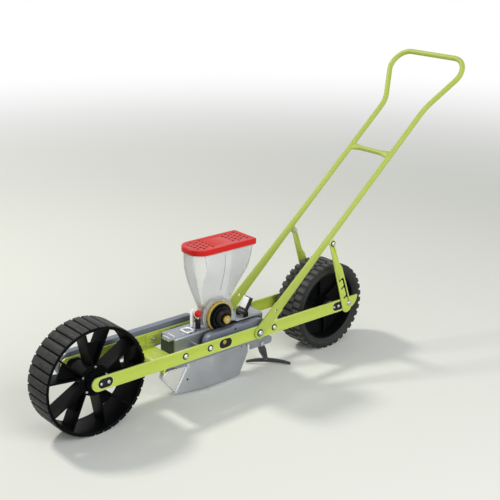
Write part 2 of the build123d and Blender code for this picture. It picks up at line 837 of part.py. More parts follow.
def coverer_stem():
    """Leaf-shaped stem that trails back from its eye on the pin."""
    eye_radius = coverer_pin_radius + coverer_eye_wall
    foot = coverer_foot()
    middle = ((coverer_pin_x + foot[0]) / 2, (coverer_pin_z + foot[1]) / 2)
    top_circle = (Pos(coverer_pin_x, coverer_pin_z) * Circle(eye_radius)).edges()
    middle_circle = (Pos(*middle) * Circle(coverer_stem_width / 2)).edges()
    foot_circle = (Pos(*foot) * Circle(coverer_stem_width / 4)).edges()
    shape = make_hull(top_circle + middle_circle) + make_hull(middle_circle + foot_circle)
    shape -= Pos(coverer_pin_x, coverer_pin_z) * Circle(coverer_pin_radius + running_gap)
    half = coverer_stem_thickness / 2
    return plate(shape, coverer_y - half, coverer_y + half)


def coverer_bow():
    """Arched blade set askew across the furrow, with its tips lower than its middle."""
    foot_x, foot_z = coverer_foot()
    tip_top = foot_z - bow_drop
    tip_low = tip_top - bow_tip_height
    top = ThreePointArc((-bow_right, tip_top), (0, foot_z), (bow_left, tip_top))
    low = ThreePointArc((bow_left, tip_low), (0, foot_z - bow_height), (-bow_right, tip_low))
    shape = make_face([top, Line(top @ 1, low @ 0), low, Line(low @ 1, top @ 0)])
    blade = cross_plate(shape, -bow_thickness / 2, bow_thickness / 2)
    return Pos(foot_x, coverer_y, 0) * Rot(0, 0, bow_skew) * blade - coverer_stem()


def seed_roller():
    """Roller with rows of seed cells round its rim."""
    body = ring(0, 0, roller_radius, roller_shaft_radius + running_gap, roller_far, roller_near)
    cell = Pos(0, 0, roller_radius - cell_depth) * Cylinder(
        cell_radius, cell_depth * 2, align=(Align.CENTER, Align.CENTER, Align.MIN))
    for row, y in enumerate(cell_rows):
        for number in range(cell_count):
            body -= Pos(0, y, 0) * Rot(0, 360 / cell_count * (number + row / 2), 0) * cell
    return Pos(roller_x, 0, roller_z) * body


def roller_gear():
    """Gear on the roller shaft with a turned face."""
    line = math.degrees(math.atan2(metering_shaft_z - roller_z, metering_shaft_x - roller_x))
    high = gear_y + gear_thickness
    body = plate(Pos(roller_x, roller_z) * Rot(0, 0, line) * gear_outline(roller_gear_teeth), gear_y, high)
    rim = gear_module * (roller_gear_teeth / 2 - 3)
    for step, depth in enumerate((gear_thickness / 3, gear_thickness / 6)):
        outer = rim - step * face_ring * 1.5
        body -= ring(roller_x, roller_z, outer, outer - face_ring, high - depth, high + 1)
    return body - rod(roller_x, roller_z, roller_shaft_radius + running_gap, gear_y - 1, high + 1)


def roller_nut():
    """Lobed hand nut that holds the gear and the roller on their shaft."""
    lobe = roller_nut_radius / 6
    shape = Circle(roller_nut_radius - lobe)
    for number in range(roller_nut_lobes):
        shape += Pos(*polar(roller_nut_radius - lobe, 360 / roller_nut_lobes * number)) * Circle(lobe)
    shape -= Circle(roller_shaft_radius + running_gap)
    low = gear_y + gear_thickness
    return plate(Pos(roller_x, roller_z) * shape, low, low + roller_nut_length - seat_gap)


def metering_gear():
    """Gear on the short shaft, turned so that a gap meets the roller gear's tooth."""
    line = math.degrees(math.atan2(roller_z - metering_shaft_z, roller_x - metering_shaft_x))
    turn = line + 180 / metering_gear_teeth
    place = Pos(metering_shaft_x, metering_shaft_z) * Rot(0, 0, turn)
    body = plate(place * gear_outline(metering_gear_teeth), gear_y, gear_y + gear_thickness)
    bore = metering_shaft_radius + running_gap
    return body - rod(metering_shaft_x, metering_shaft_z, bore, gear_y - 1, rear_case_inner)


def hopper_outline(front, rear, half, front_corner, rear_corner):
    """A rectangle with round front corners and smaller rear ones."""
    shape = Pos((front + rear) / 2, 0) * Rectangle(front - rear, 2 * half)
    shape = fillet(shape.vertices().group_by(Axis.X)[-1], front_corner)
    return fillet(shape.vertices().sort_by(Axis.X)[:2], rear_corner)


def hopper_level(z):
    """Front, rear, half width and front corner of the hopper at a height."""
    swell = math.sin(math.pi / 2 * min(1.0, (z - box_top) / (hopper_curve_z - box_top)))
    front = box_front + (hopper_front - box_front) * swell
    half = box_half_width + (hopper_half_width - box_half_width) * swell**2
    corner = box_corner + (hopper_front_corner - box_corner) * swell**2
    if z < hopper_knee_z:
        rear = box_rear + (hopper_knee_x - box_rear) * (z - box_top) / (hopper_knee_z - box_top)
    else:
        share = (z - hopper_knee_z) / (hopper_top - hopper_knee_z)
        rear = hopper_knee_x + (hopper_rear - hopper_knee_x) * share
    return front, rear, half, corner


def hopper_solid(shrink, extra):
    """The hopper's outside, or its inside drawn smaller and longer."""
    step = (hopper_curve_z - box_top) / hopper_curve_steps
    curve = [box_top + step * number for number in range(hopper_curve_steps)]
    heights = sorted(curve + [hopper_knee_z, hopper_curve_z, hopper_top])
    sections = []
    for z in heights:
        front, rear, half, corner = hopper_level(z)
        shape = hopper_outline(front - shrink, rear + shrink, half - shrink, corner - shrink,
                               hopper_rear_corner - shrink)
        level = z - extra if z == heights[0] else z + extra if z == heights[-1] else z
        sections.append(Plane.XY.offset(level) * shape)
    return loft(sections, ruled=True)


def roller_port():
    """The round way through the near walls by which the roller goes in."""
    return rod(roller_x, roller_z, roller_radius + port_gap, box_half_width / 2, roller_near + 2 * port_depth)


def hopper():
    """Clear hopper, open at both ends, standing on the seed box, with a rim below the lid."""
    front, rear, half, corner = hopper_level(hopper_top)
    rim = hopper_outline(front + rim_flange, rear - rim_flange, half + rim_flange, corner + rim_flange,
                         hopper_rear_corner + rim_flange)
    rim_top = lid_top - lid_height - seat_gap
    flange = extrude(Plane.XY.offset(rim_top - rim_flange_height) * rim, amount=rim_flange_height)
    return hopper_solid(0, 0) + flange - hopper_solid(hopper_wall, 0.01) - roller_port()


def seed_box():
    """Clear box round the roller, open at the top, at the near side and over the seed hole."""
    half = box_half_width
    outer = hopper_outline(box_front, box_rear, half, box_corner, hopper_rear_corner)
    body = extrude(Plane.XY.offset(housing_top) * outer, amount=box_top - housing_top)
    body -= extrude(Plane.XY.offset(housing_top + box_wall) * offset(outer, -box_wall), amount=box_top)
    well = roller_well(housing_top + box_wall)
    body -= block(roller_x - well, roller_x + well, roller_far - port_gap, half - box_wall,
                  housing_top - 1, housing_top + box_wall + 1)
    body += rod(roller_x, roller_z, roller_shaft_radius + 4, -half, roller_far - seat_gap)
    return body - roller_port() - rod(roller_x, roller_z, roller_shaft_radius + running_gap, -half - 1, half)


def roller_arch():
    """Ring round the roller's way in, standing on the housing and against the walls."""
    inner = roller_radius + port_gap
    shape = Pos(roller_x, roller_z) * (Circle(inner + port_rim) - Circle(inner))
    shape -= Pos(roller_x, housing_top - 2 * inner) * Rectangle(4 * inner, 4 * inner)
    return plate(shape, box_half_width, box_half_width + port_depth) - hopper_solid(0, 0)


def seed_brush():
    """Small brush on the box's rear wall that levels the cells."""
    inner = roller_radius + seat_gap
    outer = roller_x - box_rear - box_wall
    shape = (Circle(outer) - Circle(inner)) & outline((0, 0), polar(2 * outer, 165), polar(2 * outer, 180))
    return plate(Pos(roller_x, roller_z) * shape, roller_far, box_half_width - hopper_rear_corner - 1)


def hopper_lid():
    """Lid with two clusters of dimples, fitted over the hopper's top."""
    corner = hopper_front_corner + lid_wall + 1
    shape = hopper_outline(lid_front, lid_rear, lid_half_width, corner, hopper_rear_corner)
    body = extrude(Plane.XY.offset(lid_top - lid_height) * shape, amount=lid_height)
    body = fillet(body.edges().group_by(Axis.Z)[-1], 3)
    gap = slide_gap
    inside = hopper_outline(hopper_front + gap, hopper_rear - gap, hopper_half_width + gap,
                            hopper_front_corner + gap, hopper_rear_corner + gap)
    body -= extrude(Plane.XY.offset(lid_top - lid_height - 1) * inside, amount=lid_height - lid_wall + 1)
    for end in (lid_front - dimple_inset, lid_rear + dimple_inset):
        for row in range(dimple_rows):
            x = end + (row - (dimple_rows - 1) / 2) * dimple_spacing
            count = dimple_columns - row % 2
            for column in range(count):
                y = (column - (count - 1) / 2) * dimple_spacing
                body -= upright(x, y, dimple_radius, lid_top - dimple_depth, lid_top + 1)
    return body


def plunger_sleeve():
    """Sleeve in which the plunger slides."""
    sleeve = upright(knob_x, knob_y, sleeve_radius, housing_top, housing_top + sleeve_height)
    sleeve -= upright(knob_x, knob_y, plunger_radius + running_gap, housing_top - 1, knob_z)
    return sleeve


def plunger_strip():
    """Upright strip behind the plunger."""
    x = knob_x + strip_ahead
    y = knob_y - strip_behind
    return block(x - strip_width / 2, x + strip_width / 2, y - strip_thickness / 2, y + strip_thickness / 2,
                 housing_top, housing_top + strip_rise)


def plunger_stem():
    """Pin below the knob."""
    return upright(knob_x, knob_y, plunger_radius, housing_top - sheet - 4, knob_z - knob_radius + 3)


def plunger_knob():
    """Ball knob, flat where the pin enters."""
    ball = Pos(knob_x, knob_y, knob_z) * Sphere(knob_radius)
    return ball - upright(knob_x, knob_y, plunger_radius, knob_z - 2 * knob_radius, knob_z - knob_radius + 3)


def latch_bracket():
    """Two cheeks on the housing with the latch pin between them."""
    inner = latch_width / 2 + slide_gap
    top = housing_top + latch_rise
    shape = Pos(latch_x, top) * Circle(cheek_radius)
    shape += Pos(latch_x, (top + housing_top) / 2) * Rectangle(2 * cheek_radius, top - housing_top)
    body = []
    for low in (latch_y + inner, latch_y - inner - cheek_thickness):
        body.append(plate(shape, low, low + cheek_thickness))
    pin = rod(latch_x, top, latch_pin_radius, latch_y - inner, latch_y + inner)
    return body[0] + body[1] + pin


def latch_place():
    """Where the latch's own frame lies: X up its length from the pin, Y to its back."""
    return Pos(latch_x, housing_top + latch_rise) * Rot(0, 0, 90 + latch_lean)


def latch_lever():
    """Thick lever that leans back from its pin."""
    half = latch_thickness / 2
    shape = Pos(latch_length / 2, 0) * Rectangle(latch_length, latch_thickness) + Circle(half + 2)
    shape += Pos(latch_length, half / 2) * Circle(half / 2)
    shape -= Circle(latch_pin_radius + running_gap)
    return plate(latch_place() * shape, latch_y - latch_width / 2, latch_y + latch_width / 2)


def latch_face():
    """Pale plate on the front of the lever."""
    low = latch_thickness
    shape = Pos((latch_length + low) / 2, -(latch_thickness + latch_face_thickness) / 2) * Rectangle(
        latch_length - low, latch_face_thickness)
    half = latch_width / 2 - latch_face_thickness
    return plate(latch_place() * shape, latch_y - half, latch_y + half)


def handle_point(along, below=0.0):
    """A point of the handle's straight part: along it from the pivot and square below it."""
    turn = math.radians(handle_angle)
    x = handle_pivot_x - along * math.cos(turn) - below * math.sin(turn)
    z = bar_rise + along * math.sin(turn) - below * math.cos(turn)
    return (x, z)


def rounded_path(points, radii):
    """A wire through the points with its corners rounded."""
    edges = []
    start = points[0]
    for number, radius in enumerate(radii):
        corner = points[number + 1]
        back = (points[number] - corner).normalized()
        ahead = (points[number + 2] - corner).normalized()
        half = math.radians(back.get_angle(ahead)) / 2
        reach = radius / math.tan(half)
        first = corner + back * reach
        last = corner + ahead * reach
        middle = corner + (back + ahead).normalized() * (radius / math.sin(half) - radius)
        edges.append(Line(start, first))
        edges.append(ThreePointArc(first, middle, last))
        start = last
    edges.append(Line(start, points[-1]))
    return Wire(edges)


def handle_tube():
    """One tube from the left flattened end over the grip to the right one."""
    start = handle_flat_length + handle_neck_length
    low_x, low_z = handle_point(start)
    bend_x, bend_z = handle_point(handle_straight)
    left = [Vector(low_x, handle_y, low_z), Vector(bend_x, handle_y, bend_z),
            Vector(bend_x - grip_back, grip_half_width, bend_z + grip_rise)]
    right = [Vector(point.X, -point.Y, point.Z) for point in reversed(left)]
    bends = (shoulder_radius, grip_corner_radius, grip_corner_radius, shoulder_radius)
    path = rounded_path(left + right, bends)
    opening = Plane(origin=left[0], z_dir=left[1] - left[0])
    body = sweep(opening * Circle(tube_radius), path=path)
    turn = math.radians(handle_angle)
    ahead = Vector(-math.cos(turn), 0, math.sin(turn))
    neck_x, neck_z = handle_point(handle_flat_length - 6)
    flat_face = Plane(origin=(neck_x, handle_y, neck_z), x_dir=(0, 1, 0), z_dir=ahead)
    round_face = Plane(origin=left[0], x_dir=(0, 1, 0), z_dir=ahead)
    narrow = Ellipse(handle_flat_thickness / 2, handle_flat_width / 2)
    neck = loft([flat_face * narrow, round_face * Circle(tube_radius)])
    flat = strip(handle_point(0), handle_point(handle_flat_length), handle_flat_width)
    flat += Pos(*handle_point(0)) * Circle(handle_flat_width / 2)
    flat -= Pos(*handle_point(0)) * Circle(pivot_bolt_radius + running_gap)
    flat -= Pos(*handle_point(handle_spare_hole)) * Circle(pivot_bolt_radius)
    side = plate(flat, handle_low, handle_high) + neck
    return body + side + other_side(side)


def handle_crossbar(tube):
    """Round crossbar between the tubes, pressed flat towards its ends."""
    x, z = handle_point(crossbar_along)
    turn = math.radians(handle_angle)
    along = Vector(-math.cos(turn), 0, math.sin(turn))
    end = handle_y - tube_radius / 2
    start = end - crossbar_flat
    bar = rod(x, z, crossbar_radius, -start, start)
    round_face = Plane(origin=(x, start, z), x_dir=along, z_dir=(0, 1, 0))
    flat_face = Plane(origin=(x, end, z), x_dir=along, z_dir=(0, 1, 0))
    end_shape = Ellipse(crossbar_paddle / 2, crossbar_end / 2)
    paddle = loft([round_face * Circle(crossbar_radius), flat_face * end_shape])
    for piece in both_sides(paddle):
        bar += piece
    return bar - tube


def strut_lugs(tube):
    """Lugs below the tubes that carry the struts."""
    low = strut_high + slide_gap
    shape = strip(handle_point(strut_along), handle_point(strut_along, strut_offset), lug_width)
    shape += Pos(*handle_point(strut_along, strut_offset)) * Circle(lug_width / 2)
    shape -= Pos(*handle_point(strut_along, strut_offset)) * Circle(bolt_radius + seat_gap)
    return [piece - tube for piece in both_sides(plate(shape, low, low + sheet))]


def strut_place():
    """Where the strut's own frame lies: X down its length from the top bolt, Y forward."""
    top = Vector(*handle_point(strut_along, strut_offset))
    pin = Vector(strut_pin_x, bar_rise)
    run = pin - top
    length = math.sqrt(run.length**2 - strut_slot_offset**2)
    lean = math.atan2(run.Y, run.X) + math.asin(strut_slot_offset / run.length)
    return top, length, math.degrees(lean)


def strut():
    """The left strut: narrow above, wide below, with a notched slot."""
    top, length, lean = strut_place()
    rear = strut_slot_offset + strut_slot_width / 2 + strut_rear_strip
    low = length + strut_foot
    round_radius = (strut_front_reach + rear) / 2
    shape = outline(
        (0, strut_top_radius), (low, strut_front_reach), (low, -rear),
        (strut_shoulder + 22, -rear), (strut_shoulder, -strut_top_radius), (0, -strut_top_radius))
    shape += Circle(strut_top_radius)
    shape += Pos(low, strut_front_reach - round_radius) * Circle(round_radius)
    slot_line = -strut_slot_offset
    half = strut_slot_width / 2
    shape -= strip((length - strut_slot_length, slot_line), (length, slot_line), strut_slot_width)
    shape -= Pos(length, slot_line) * Circle(half)
    for rise in strut_notch_rise:
        tip = (length - rise + 3, slot_line + strut_notch_reach)
        shape -= strip((length - rise, slot_line), tip, strut_slot_width)
        shape -= Pos(*tip) * Circle(half)
    shape -= Circle(bolt_radius + running_gap)
    return plate(Pos(top.X, top.Y) * Rot(0, 0, lean) * shape, strut_low, strut_high)


def strut_bolt():
    """Bolt that holds the left strut on its lug."""
    x, z = handle_point(strut_along, strut_offset)
    lug_face = strut_high + slide_gap + sheet
    low = strut_low - slide_gap - bolt_nut_height
    bolt = rod(x, z, bolt_radius, low, lug_face + bolt_head_height)
    bolt += rod(x, z, bolt_head_radius, lug_face, lug_face + bolt_head_height)
    bolt += hex_nut(x, z, bolt_nut_size, bolt_radius, low, strut_low - slide_gap)
    return bolt


def strut_pin():
    """Headed pin on the left bar for the strut's slot."""
    head_low = strut_high + slide_gap
    pin = rod(strut_pin_x, bar_rise, strut_pin_radius, bar_inner - 2, head_low + 3)
    pin += rod(strut_pin_x, bar_rise, strut_pin_head, head_low, head_low + 3)
    return pin + rod(strut_pin_x, bar_rise, strut_pin_collar, bar_inner - 2, bar_inner)


def handle_pivot_bolt():
    """Bolt on the left bar on which the handle's flat end swings."""
    head_low = handle_high + slide_gap
    head_high = head_low + pivot_head_height
    nut_low = bar_inner - pivot_nut_height
    bolt = rod(handle_pivot_x, bar_rise, pivot_bolt_radius, nut_low, head_high)
    head = rod(handle_pivot_x, bar_rise, pivot_head_radius, head_low, head_high)
    bolt += fillet(head.edges().group_by(Axis.Y)[-1], pivot_head_height * 0.6)
    return bolt + hex_nut(handle_pivot_x, bar_rise, pivot_nut_size, pivot_bolt_radius, nut_low, bar_inner)


rear_x = -axle_distance
wheel_level = Rot(0, tilt, 0)
rear_level = Pos(rear_x, 0, 0) * Rot(0, tilt, 0)
jack = (jackshaft_x, jackshaft_z)
metering = (metering_shaft_x, metering_shaft_z)
tube = handle_tube()
front_tray, front_back, front_spacers = front_case_pieces()
rear_cover, rear_back, rear_bushes, rear_spacers = rear_case_pieces()
left_bar = side_bar((0, jackshaft_x, rear_x))
right_bar = other_side(side_bar((jackshaft_x, rear_x)))
left_strut = strut()
front_blocks = [bearing_block(0, 0, axle_radius, blind_skin),
                other_side(bearing_block(0, 0, axle_radius, window=False))]
jack_blocks = both_sides(bearing_block(jackshaft_x, jackshaft_z, axle_radius))
rear_blocks = both_sides(bearing_block(rear_x, 0, axle_radius, blind_skin))
screws = []
for screw in block_screws(0, front_screw_places) + block_screws(rear_x, rear_screw_places):
    screws += both_sides(screw)
bracket_face = bar_inner - bracket_thickness
ear_face = bar_inner - sheet
bolts = both_sides(bar_bolt(bracket_bolt_x, bracket_face))
for bolt_x in (front_ear_bolt_x, rear_ear_bolt_x):
    bolts += both_sides(bar_bolt(bolt_x, ear_face))
near_shaft_end = bar_outer + 1
blind_end = bar_outer - blind_skin - slide_gap

nodes = {
    "side_bar_left": [left_bar],
    "side_bar_right": [right_bar],
    "front_cross_bracket": [front_cross_bracket()],
    "frame_bolts": bolts + screws,
    "axle_blocks": front_blocks + rear_blocks,
    "jackshaft_blocks": jack_blocks,
    "front_chain_case": [front_tray],
    "front_chain_backplate": [front_back],
    "case_spacers": front_spacers + rear_spacers,
    "front_chain": [chain_loop((0, 0), wheel_sprocket_teeth, jack, driven_sprocket_teeth, front_chain_y)],
    "rear_chain_case": [rear_cover],
    "rear_chain_backplate": [rear_back],
    "metering_bush": rear_bushes,
    "rear_chain": [chain_loop(jack, drive_sprocket_teeth, metering, metering_sprocket_teeth, rear_chain_y)],
    "opener_housing": [opener_housing()],
    "opener_shoe": [opener_shoe()],
    "shoe_guard_strap": [shoe_guard_strap()],
    "coverer_arm": [coverer_arm()],
    "coverer_pin": [coverer_pin()],
    "seed_box": [seed_box()],
    "roller_arch": [roller_arch()],
    "seed_brush": [seed_brush()],
    "hopper": [hopper()],
    "plunger_sleeve": [plunger_sleeve()],
    "plunger_strip": [plunger_strip()],
    "latch_bracket": [latch_bracket()],
    "strut_pins": both_sides(strut_pin()),
    "handle_pivot_bolts": both_sides(handle_pivot_bolt()),
    "front_wheel": [wheel_level * front_wheel()],
    "front_hub_screws": [wheel_level * screw for screw in hub_screws()],
    "front_axle": [rod(0, 0, axle_radius, -shaft_end, blind_end)],
    "front_axle_fittings": axle_spacers(0, front_wheel_width / 2),
    "wheel_sprocket": [sprocket(0, 0, wheel_sprocket_teeth, front_chain_y, axle_radius)],
    "rear_tyre": [rear_level * rear_tyre()],
    "rear_rim": [rear_level * rear_rim()],
    "rear_axle": [rod(rear_x, 0, axle_radius, -blind_end, blind_end)],
    "rear_axle_fittings": axle_spacers(rear_x, rear_hub_half),
    "jackshaft": [rod(*jack, axle_radius, -shaft_end, near_shaft_end)],
    "jackshaft_sprockets": [sprocket(*jack, driven_sprocket_teeth, front_chain_y, axle_radius),
                            sprocket(*jack, drive_sprocket_teeth, rear_chain_y, axle_radius)],
    "metering_shaft": [rod(*metering, metering_shaft_radius, gear_y - 1, rear_case_outer - case_wall - 1)],
    "metering_sprocket": [sprocket(*metering, metering_sprocket_teeth, rear_chain_y, metering_shaft_radius)],
    "metering_gear": [metering_gear()],
    "seed_roller": [seed_roller()],
    "roller_shaft": [rod(roller_x, roller_z, roller_shaft_radius, -box_half_width - 3,
                         gear_y + gear_thickness + roller_nut_length)],
    "roller_gear": [roller_gear()],
    "roller_nut": [roller_nut()],
    "handle_tube": [tube],
    "handle_crossbar": [handle_crossbar(tube)],
    "strut_lugs": strut_lugs(tube),
    "strut_left": [left_strut],
    "strut_right": [other_side(left_strut)],
    "strut_bolts": both_sides(strut_bolt()),
    "hopper_lid": [hopper_lid()],
    "latch_lever": [latch_lever()],
    "latch_face": [latch_face()],
    "plunger_stem": [plunger_stem()],
    "plunger_knob": [plunger_knob()],
    "coverer_stem": [coverer_stem()],
    "coverer_bow": [coverer_bow()],
}

# The machine is set on its wheels and over the origin
turn = math.radians(tilt)
bend = handle_point(handle_straight)
grip_x = bend[0] - grip_back
grip_z = bend[1] + grip_rise
rear_end = grip_x * math.cos(turn) - grip_z * math.sin(turn) - tube_radius
stand = Pos(-(front_wheel_radius + rear_end) / 2, 0, front_wheel_radius) * Rot(0, -tilt, 0)

os.makedirs("parts", exist_ok=True)
for name, pieces in nodes.items():
    export_step(Compound(children=[stand * piece for piece in pieces], label=name), f"parts/{name}.step")
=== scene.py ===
import json
import math

import bmesh
import bpy
from bpy.props import FloatProperty, FloatVectorProperty, PointerProperty
from bpy.types import Operator, Panel, PropertyGroup
from mathutils import Matrix, Vector


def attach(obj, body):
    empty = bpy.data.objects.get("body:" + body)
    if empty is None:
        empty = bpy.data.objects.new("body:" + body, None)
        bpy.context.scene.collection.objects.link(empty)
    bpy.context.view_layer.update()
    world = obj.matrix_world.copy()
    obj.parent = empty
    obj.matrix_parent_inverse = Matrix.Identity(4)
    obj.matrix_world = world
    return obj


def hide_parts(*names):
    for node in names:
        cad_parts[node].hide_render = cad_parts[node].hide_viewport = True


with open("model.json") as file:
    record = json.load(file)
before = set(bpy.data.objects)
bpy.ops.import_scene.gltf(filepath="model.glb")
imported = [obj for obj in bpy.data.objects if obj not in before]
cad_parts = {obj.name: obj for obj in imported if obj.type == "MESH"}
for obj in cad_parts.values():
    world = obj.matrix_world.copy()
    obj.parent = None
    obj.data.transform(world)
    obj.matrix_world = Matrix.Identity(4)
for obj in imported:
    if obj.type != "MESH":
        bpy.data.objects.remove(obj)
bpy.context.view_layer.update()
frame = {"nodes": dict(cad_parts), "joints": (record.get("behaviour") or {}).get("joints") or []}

bl_info = {
    "name": "Walk-behind seed planter",
    "version": (1, 0, 0),
    "blender": (4, 5, 0),
    "location": "View3D > Sidebar > Planter",
    "description": "Dresses a packed walk-behind seed planter with its finishes and small fittings",
    "category": "Object",
}

NODES = frame["nodes"]
MM = 0.001
CORNER_STEPS = 7
WHITE = "FFFFFF"

# Places on the machine in millimetres: X forward and Z up from the front axle, Y to the left of the middle
SIDES = (1, -1)
BAR_INNER = 73.0
BAR_OUTER = 78.0
BAR_MIDDLE = 10.0
REAR_AXLE = -826.0
HANDLE_PIVOT = -514.6
HANDLE_ANGLE = math.radians(40.8)
HANDLE_FACE = 83.6
CROSSBAR_ALONG = 668.0
CROSSBAR_END = 73.6
CROSSBAR_FOOT = (13.4, 3.6)
STRUT_ALONG = 343.6
STRUT_BELOW = 22.0
STRUT_FACE = 85.6
STRUT_BACK = 78.0
STRUT_PIN = -872.0
PIN_FACE = 82.6
LUG_FACE = 82.6
LUG_WELD = range(-11, 12, 2)
LUG_WELDS_BELOW = (7.0, 8.4)
COLLAR_FACE = 38.4

# Wheels: the rings on their walls as radius and side, the rings' beads and how deep the grey tops of the lugs
# reach
FRONT_RINGS = ((141.2, 44.0),)
FRONT_BEAD = 1.5
TYRE_RINGS = ((110.0, 45.2), (122.0, 47.2))
TYRE_BEAD = 1.3
WHEEL_POINTS = 96
CLEAT_TOP_DEPTH = 3.0
LUG_TOP_DEPTH = 3.4

# Bolts in the bars: where each stands along them and the face that its nut sits on
BAR_BOLTS = ((-256.0, 69.0), (-340.0, 70.0), (-572.0, 70.0))
# Each kind of bolt: the washer's radius, the head's radius and height, and the nut's sizes
BAR_BOLT = (9.4, (7.0, 5.0), (13.0, 5.0, 4.0, 1.4))
PIVOT_BOLT = (10.8, (8.2, 6.0), (16.0, 7.0, 5.0, 1.4))
STRUT_BOLT = (9.0, (6.6, 4.6), (13.0, 5.0, 4.0, 1.2))
THREAD_PITCH = 0.7

# Screws: the heads are given as radius and height, and the block screws as place along the bars and radius
BLOCK_SCREWS = ((9.5, 4.0), (-13.0, 5.0), (REAR_AXLE + 13.5, 4.0), (REAR_AXLE - 4.5, 5.0))
BLOCK_SCREW_HEIGHT = 3.0
PIN_HEAD = (7.5, 3.2)
# Screws of the front and the rear chain case: the side, its face, the head and the places
CASE_SCREWS = ((-1, 104.0, (3.4, 2.0), ((0, 31), (0, -31), (-130, 29), (-260, -14), (-390, 35), (-390, -7))),
               (1, 64.0, (3.0, 1.8), ((-345, 14), (-440, 36), (-440, -8), (-546, 14))))
DECK_HEAD = (3.2, 1.5)
DECK_SCREWS = ((-335.0, 1.8), (-332.7, 20.3), (-322.2, 18.6), (-314.0, 26.0), (-327.6, -7.5))
HEEL_HEAD = (1.9, 1.4)
HEEL_SCREWS = (-489.6, -507.0)
HEEL_SCREW_Z = -43.0
NOSE_HEAD = (3.0, 1.6)
NOSE_SCREW = (-315.0, 8.0, -102.6)
NOSE_SCREW_AXIS = (0.22, 0.97, 0.12)

# Turned profiles, each ring a radius, a height and a section where it isn't round
COLLAR = ((10.0, 0.0), (15.0, 0.0), (17.0, 1.0, "hexagon"), (17.0, 8.0, "hexagon"), (15.0, 9.0), (10.0, 9.0))
PIN_SHANK = ((3.0, 0.2), (3.0, -9.6), (6.0, -9.6), (6.0, -11.2), (5.6, -11.6), (0, -11.6))
END_PLATE = ((5.2, 0.0), (37.8, 0.0), (38.4, 0.5), (38.4, 1.3), (37.8, 1.8), (35.6, 1.8), (35.0, 1.4),
             (5.2, 1.4), (5.2, 0.0))
HUB_RING = ((13.4, 0.0), (24.0, 0.0), (24.6, 0.6), (24.6, 8.4), (23.8, 9.2), (22.4, 9.2), (21.6, 10.0),
            (21.6, 12.0), (20.8, 12.8), (17.2, 12.8), (16.4, 12.0), (16.4, 8.0), (13.4, 8.0), (13.4, 0.0))
# Profile of a dark-red cup at the bottom of each of the lid's holes, which paints the shade inside it
HOLE_SHADE = ((0, 0.0), (2.6, 0.0), (3.7, 0.25), (4.1, 0.9))

# Roller, housing, shoe and coverer
ROLLER = (-411.0, 70.0)
END_PLATE_Y = 33.1
HUB_RING_Y = 41.9
ROLLER_STEPS = 72
HOUSING_SIDE = 33.0
DECK = 44.0
FLUTES = (-300.0, -312.0)
FLUTE_LEVELS = range(-34, 37, 7)
FLUTE_BEAD = 1.7
FLUTE_END = 0.6
# A dark slab on the housing's front face: painted shade where the front lies in shade
FRONT_SHADE_PLATE = ((-254.2, -30.0, -38.0), (-253.2, 30.0, 40.0))
LEDGE_TABS = (-254.0, -237.0)
# Thin bright slabs on the top and front faces of a tab, which paint the tab's highlight, as corners from the
# tab's place along the machine
TAB_HIGHLIGHTS = (((-3.4, 0.4, 49.6), (0.4, 29.6, 50.6)), ((0.0, 0.4, 44.4), (0.6, 29.6, 50.6)))
DECK_LOOP = (-314.0, 8.0, 46.2)
DECK_LOOP_SIZE = (26.0, 28.0, 6.0)
DECK_LOOP_ROD = 3.4
NOSE_TOP = Vector((-332.0, 0, -46.0))
NOSE_TIP = Vector((-275.5, 0, -138.0))
NOSE_STEPS = 12
NOSE_BEAD = 4.6
NOSE_END = 3.4
STRAP_LOOP = ((-323.3, -66.0), (-304.0, -63.4), (-284.0, -61.0), (-269.0, -60.3), (-255.0, -60.0),
              (-248.0, -61.2), (-241.0, -63.0), (-236.8, -65.6), (-234.0, -68.0), (-231.8, -71.0),
              (-231.0, -74.0), (-231.5, -76.8), (-233.0, -79.0), (-248.3, -97.4), (-263.7, -115.8),
              (-277.0, -131.8))
STRAP_EDGE = 6.4
STRAP_ROLL = 2.6
COVERER_FOOT = Vector((-602.0, 11.0, -119.0))
COVERER_EYE = Vector((-577.0, 11.0, -63.0))
# The coverer's weld: how far out it lies, its radii and where it runs, as shares of the way to the eye
COVERER_WELD_SIDE = 2.6
COVERER_WELD_RADII = (1.6, 1.3)
COVERER_WELD = [step / 40 for step in range(-4, 6)]

# Hopper, lid and seed box
LID_TOP = 279.3
LID_FRONT = -319.0
LID_REAR = -528.0
HOLE_INSET = 44.0
HOLE_SPACING = 15.0
HOLE_ROWS = 4
HOLE_COLUMNS = 5
HOLE_DEPTH = 1.5
HOLE_STEPS = 20
BOX_HALF = 16.0
BOX_TOP = 96.0
BOX_FRONT = -364.0
BOX_REAR = -459.0
BOX_CORNER = 8.0
FOOT_LEVEL = 45.4
FOOT_BEAD = 1.4
CURVE_TOP = 240.0
HOPPER_HALF = 45.0
SEAM_X = -419.0
# Heights where the hopper's flat wall panels meet, above the roller ring
WALL_LEVELS = (144.0, 168.0, 192.0, 200.0, 216.0, 240.0, 254.0)
# Edges of the ring round the roller as radius and side, and the arc of 236 degrees that they run through
RING_EDGES = ((52.4, 22.6), (44.2, 22.6), (52.4, 16.6))
RING_START = -28
RING_POINTS = 49
RING_SPACING = 236 / (RING_POINTS - 1)
RING_BEAD = 0.5

# Lamps as name, place in metres, width in metres, power in watts and colour, and the floor in metres
LAMPS = (("key_light", (1.1, -2.2, 3.2), 0.6, 78.0, "FFFAF0"),
         ("near_light", (0.2, 3.4, 2.2), 3.0, 95.0, WHITE),
         ("front_light", (3.4, 0.6, 1.6), 2.4, 6.0, "F2F6FF"))
LAMP_AIM = Vector((0, 0, 0.3))
FLOOR_REACH = 30.0
FADE_START = 1.6
FADE_END = 5.0


def joint_place(name):
    """Where the record puts a joint."""
    for joint in frame["joints"]:
        if joint["name"] == name:
            return Vector(joint["pos_m"])
    raise ValueError("no joint " + name)


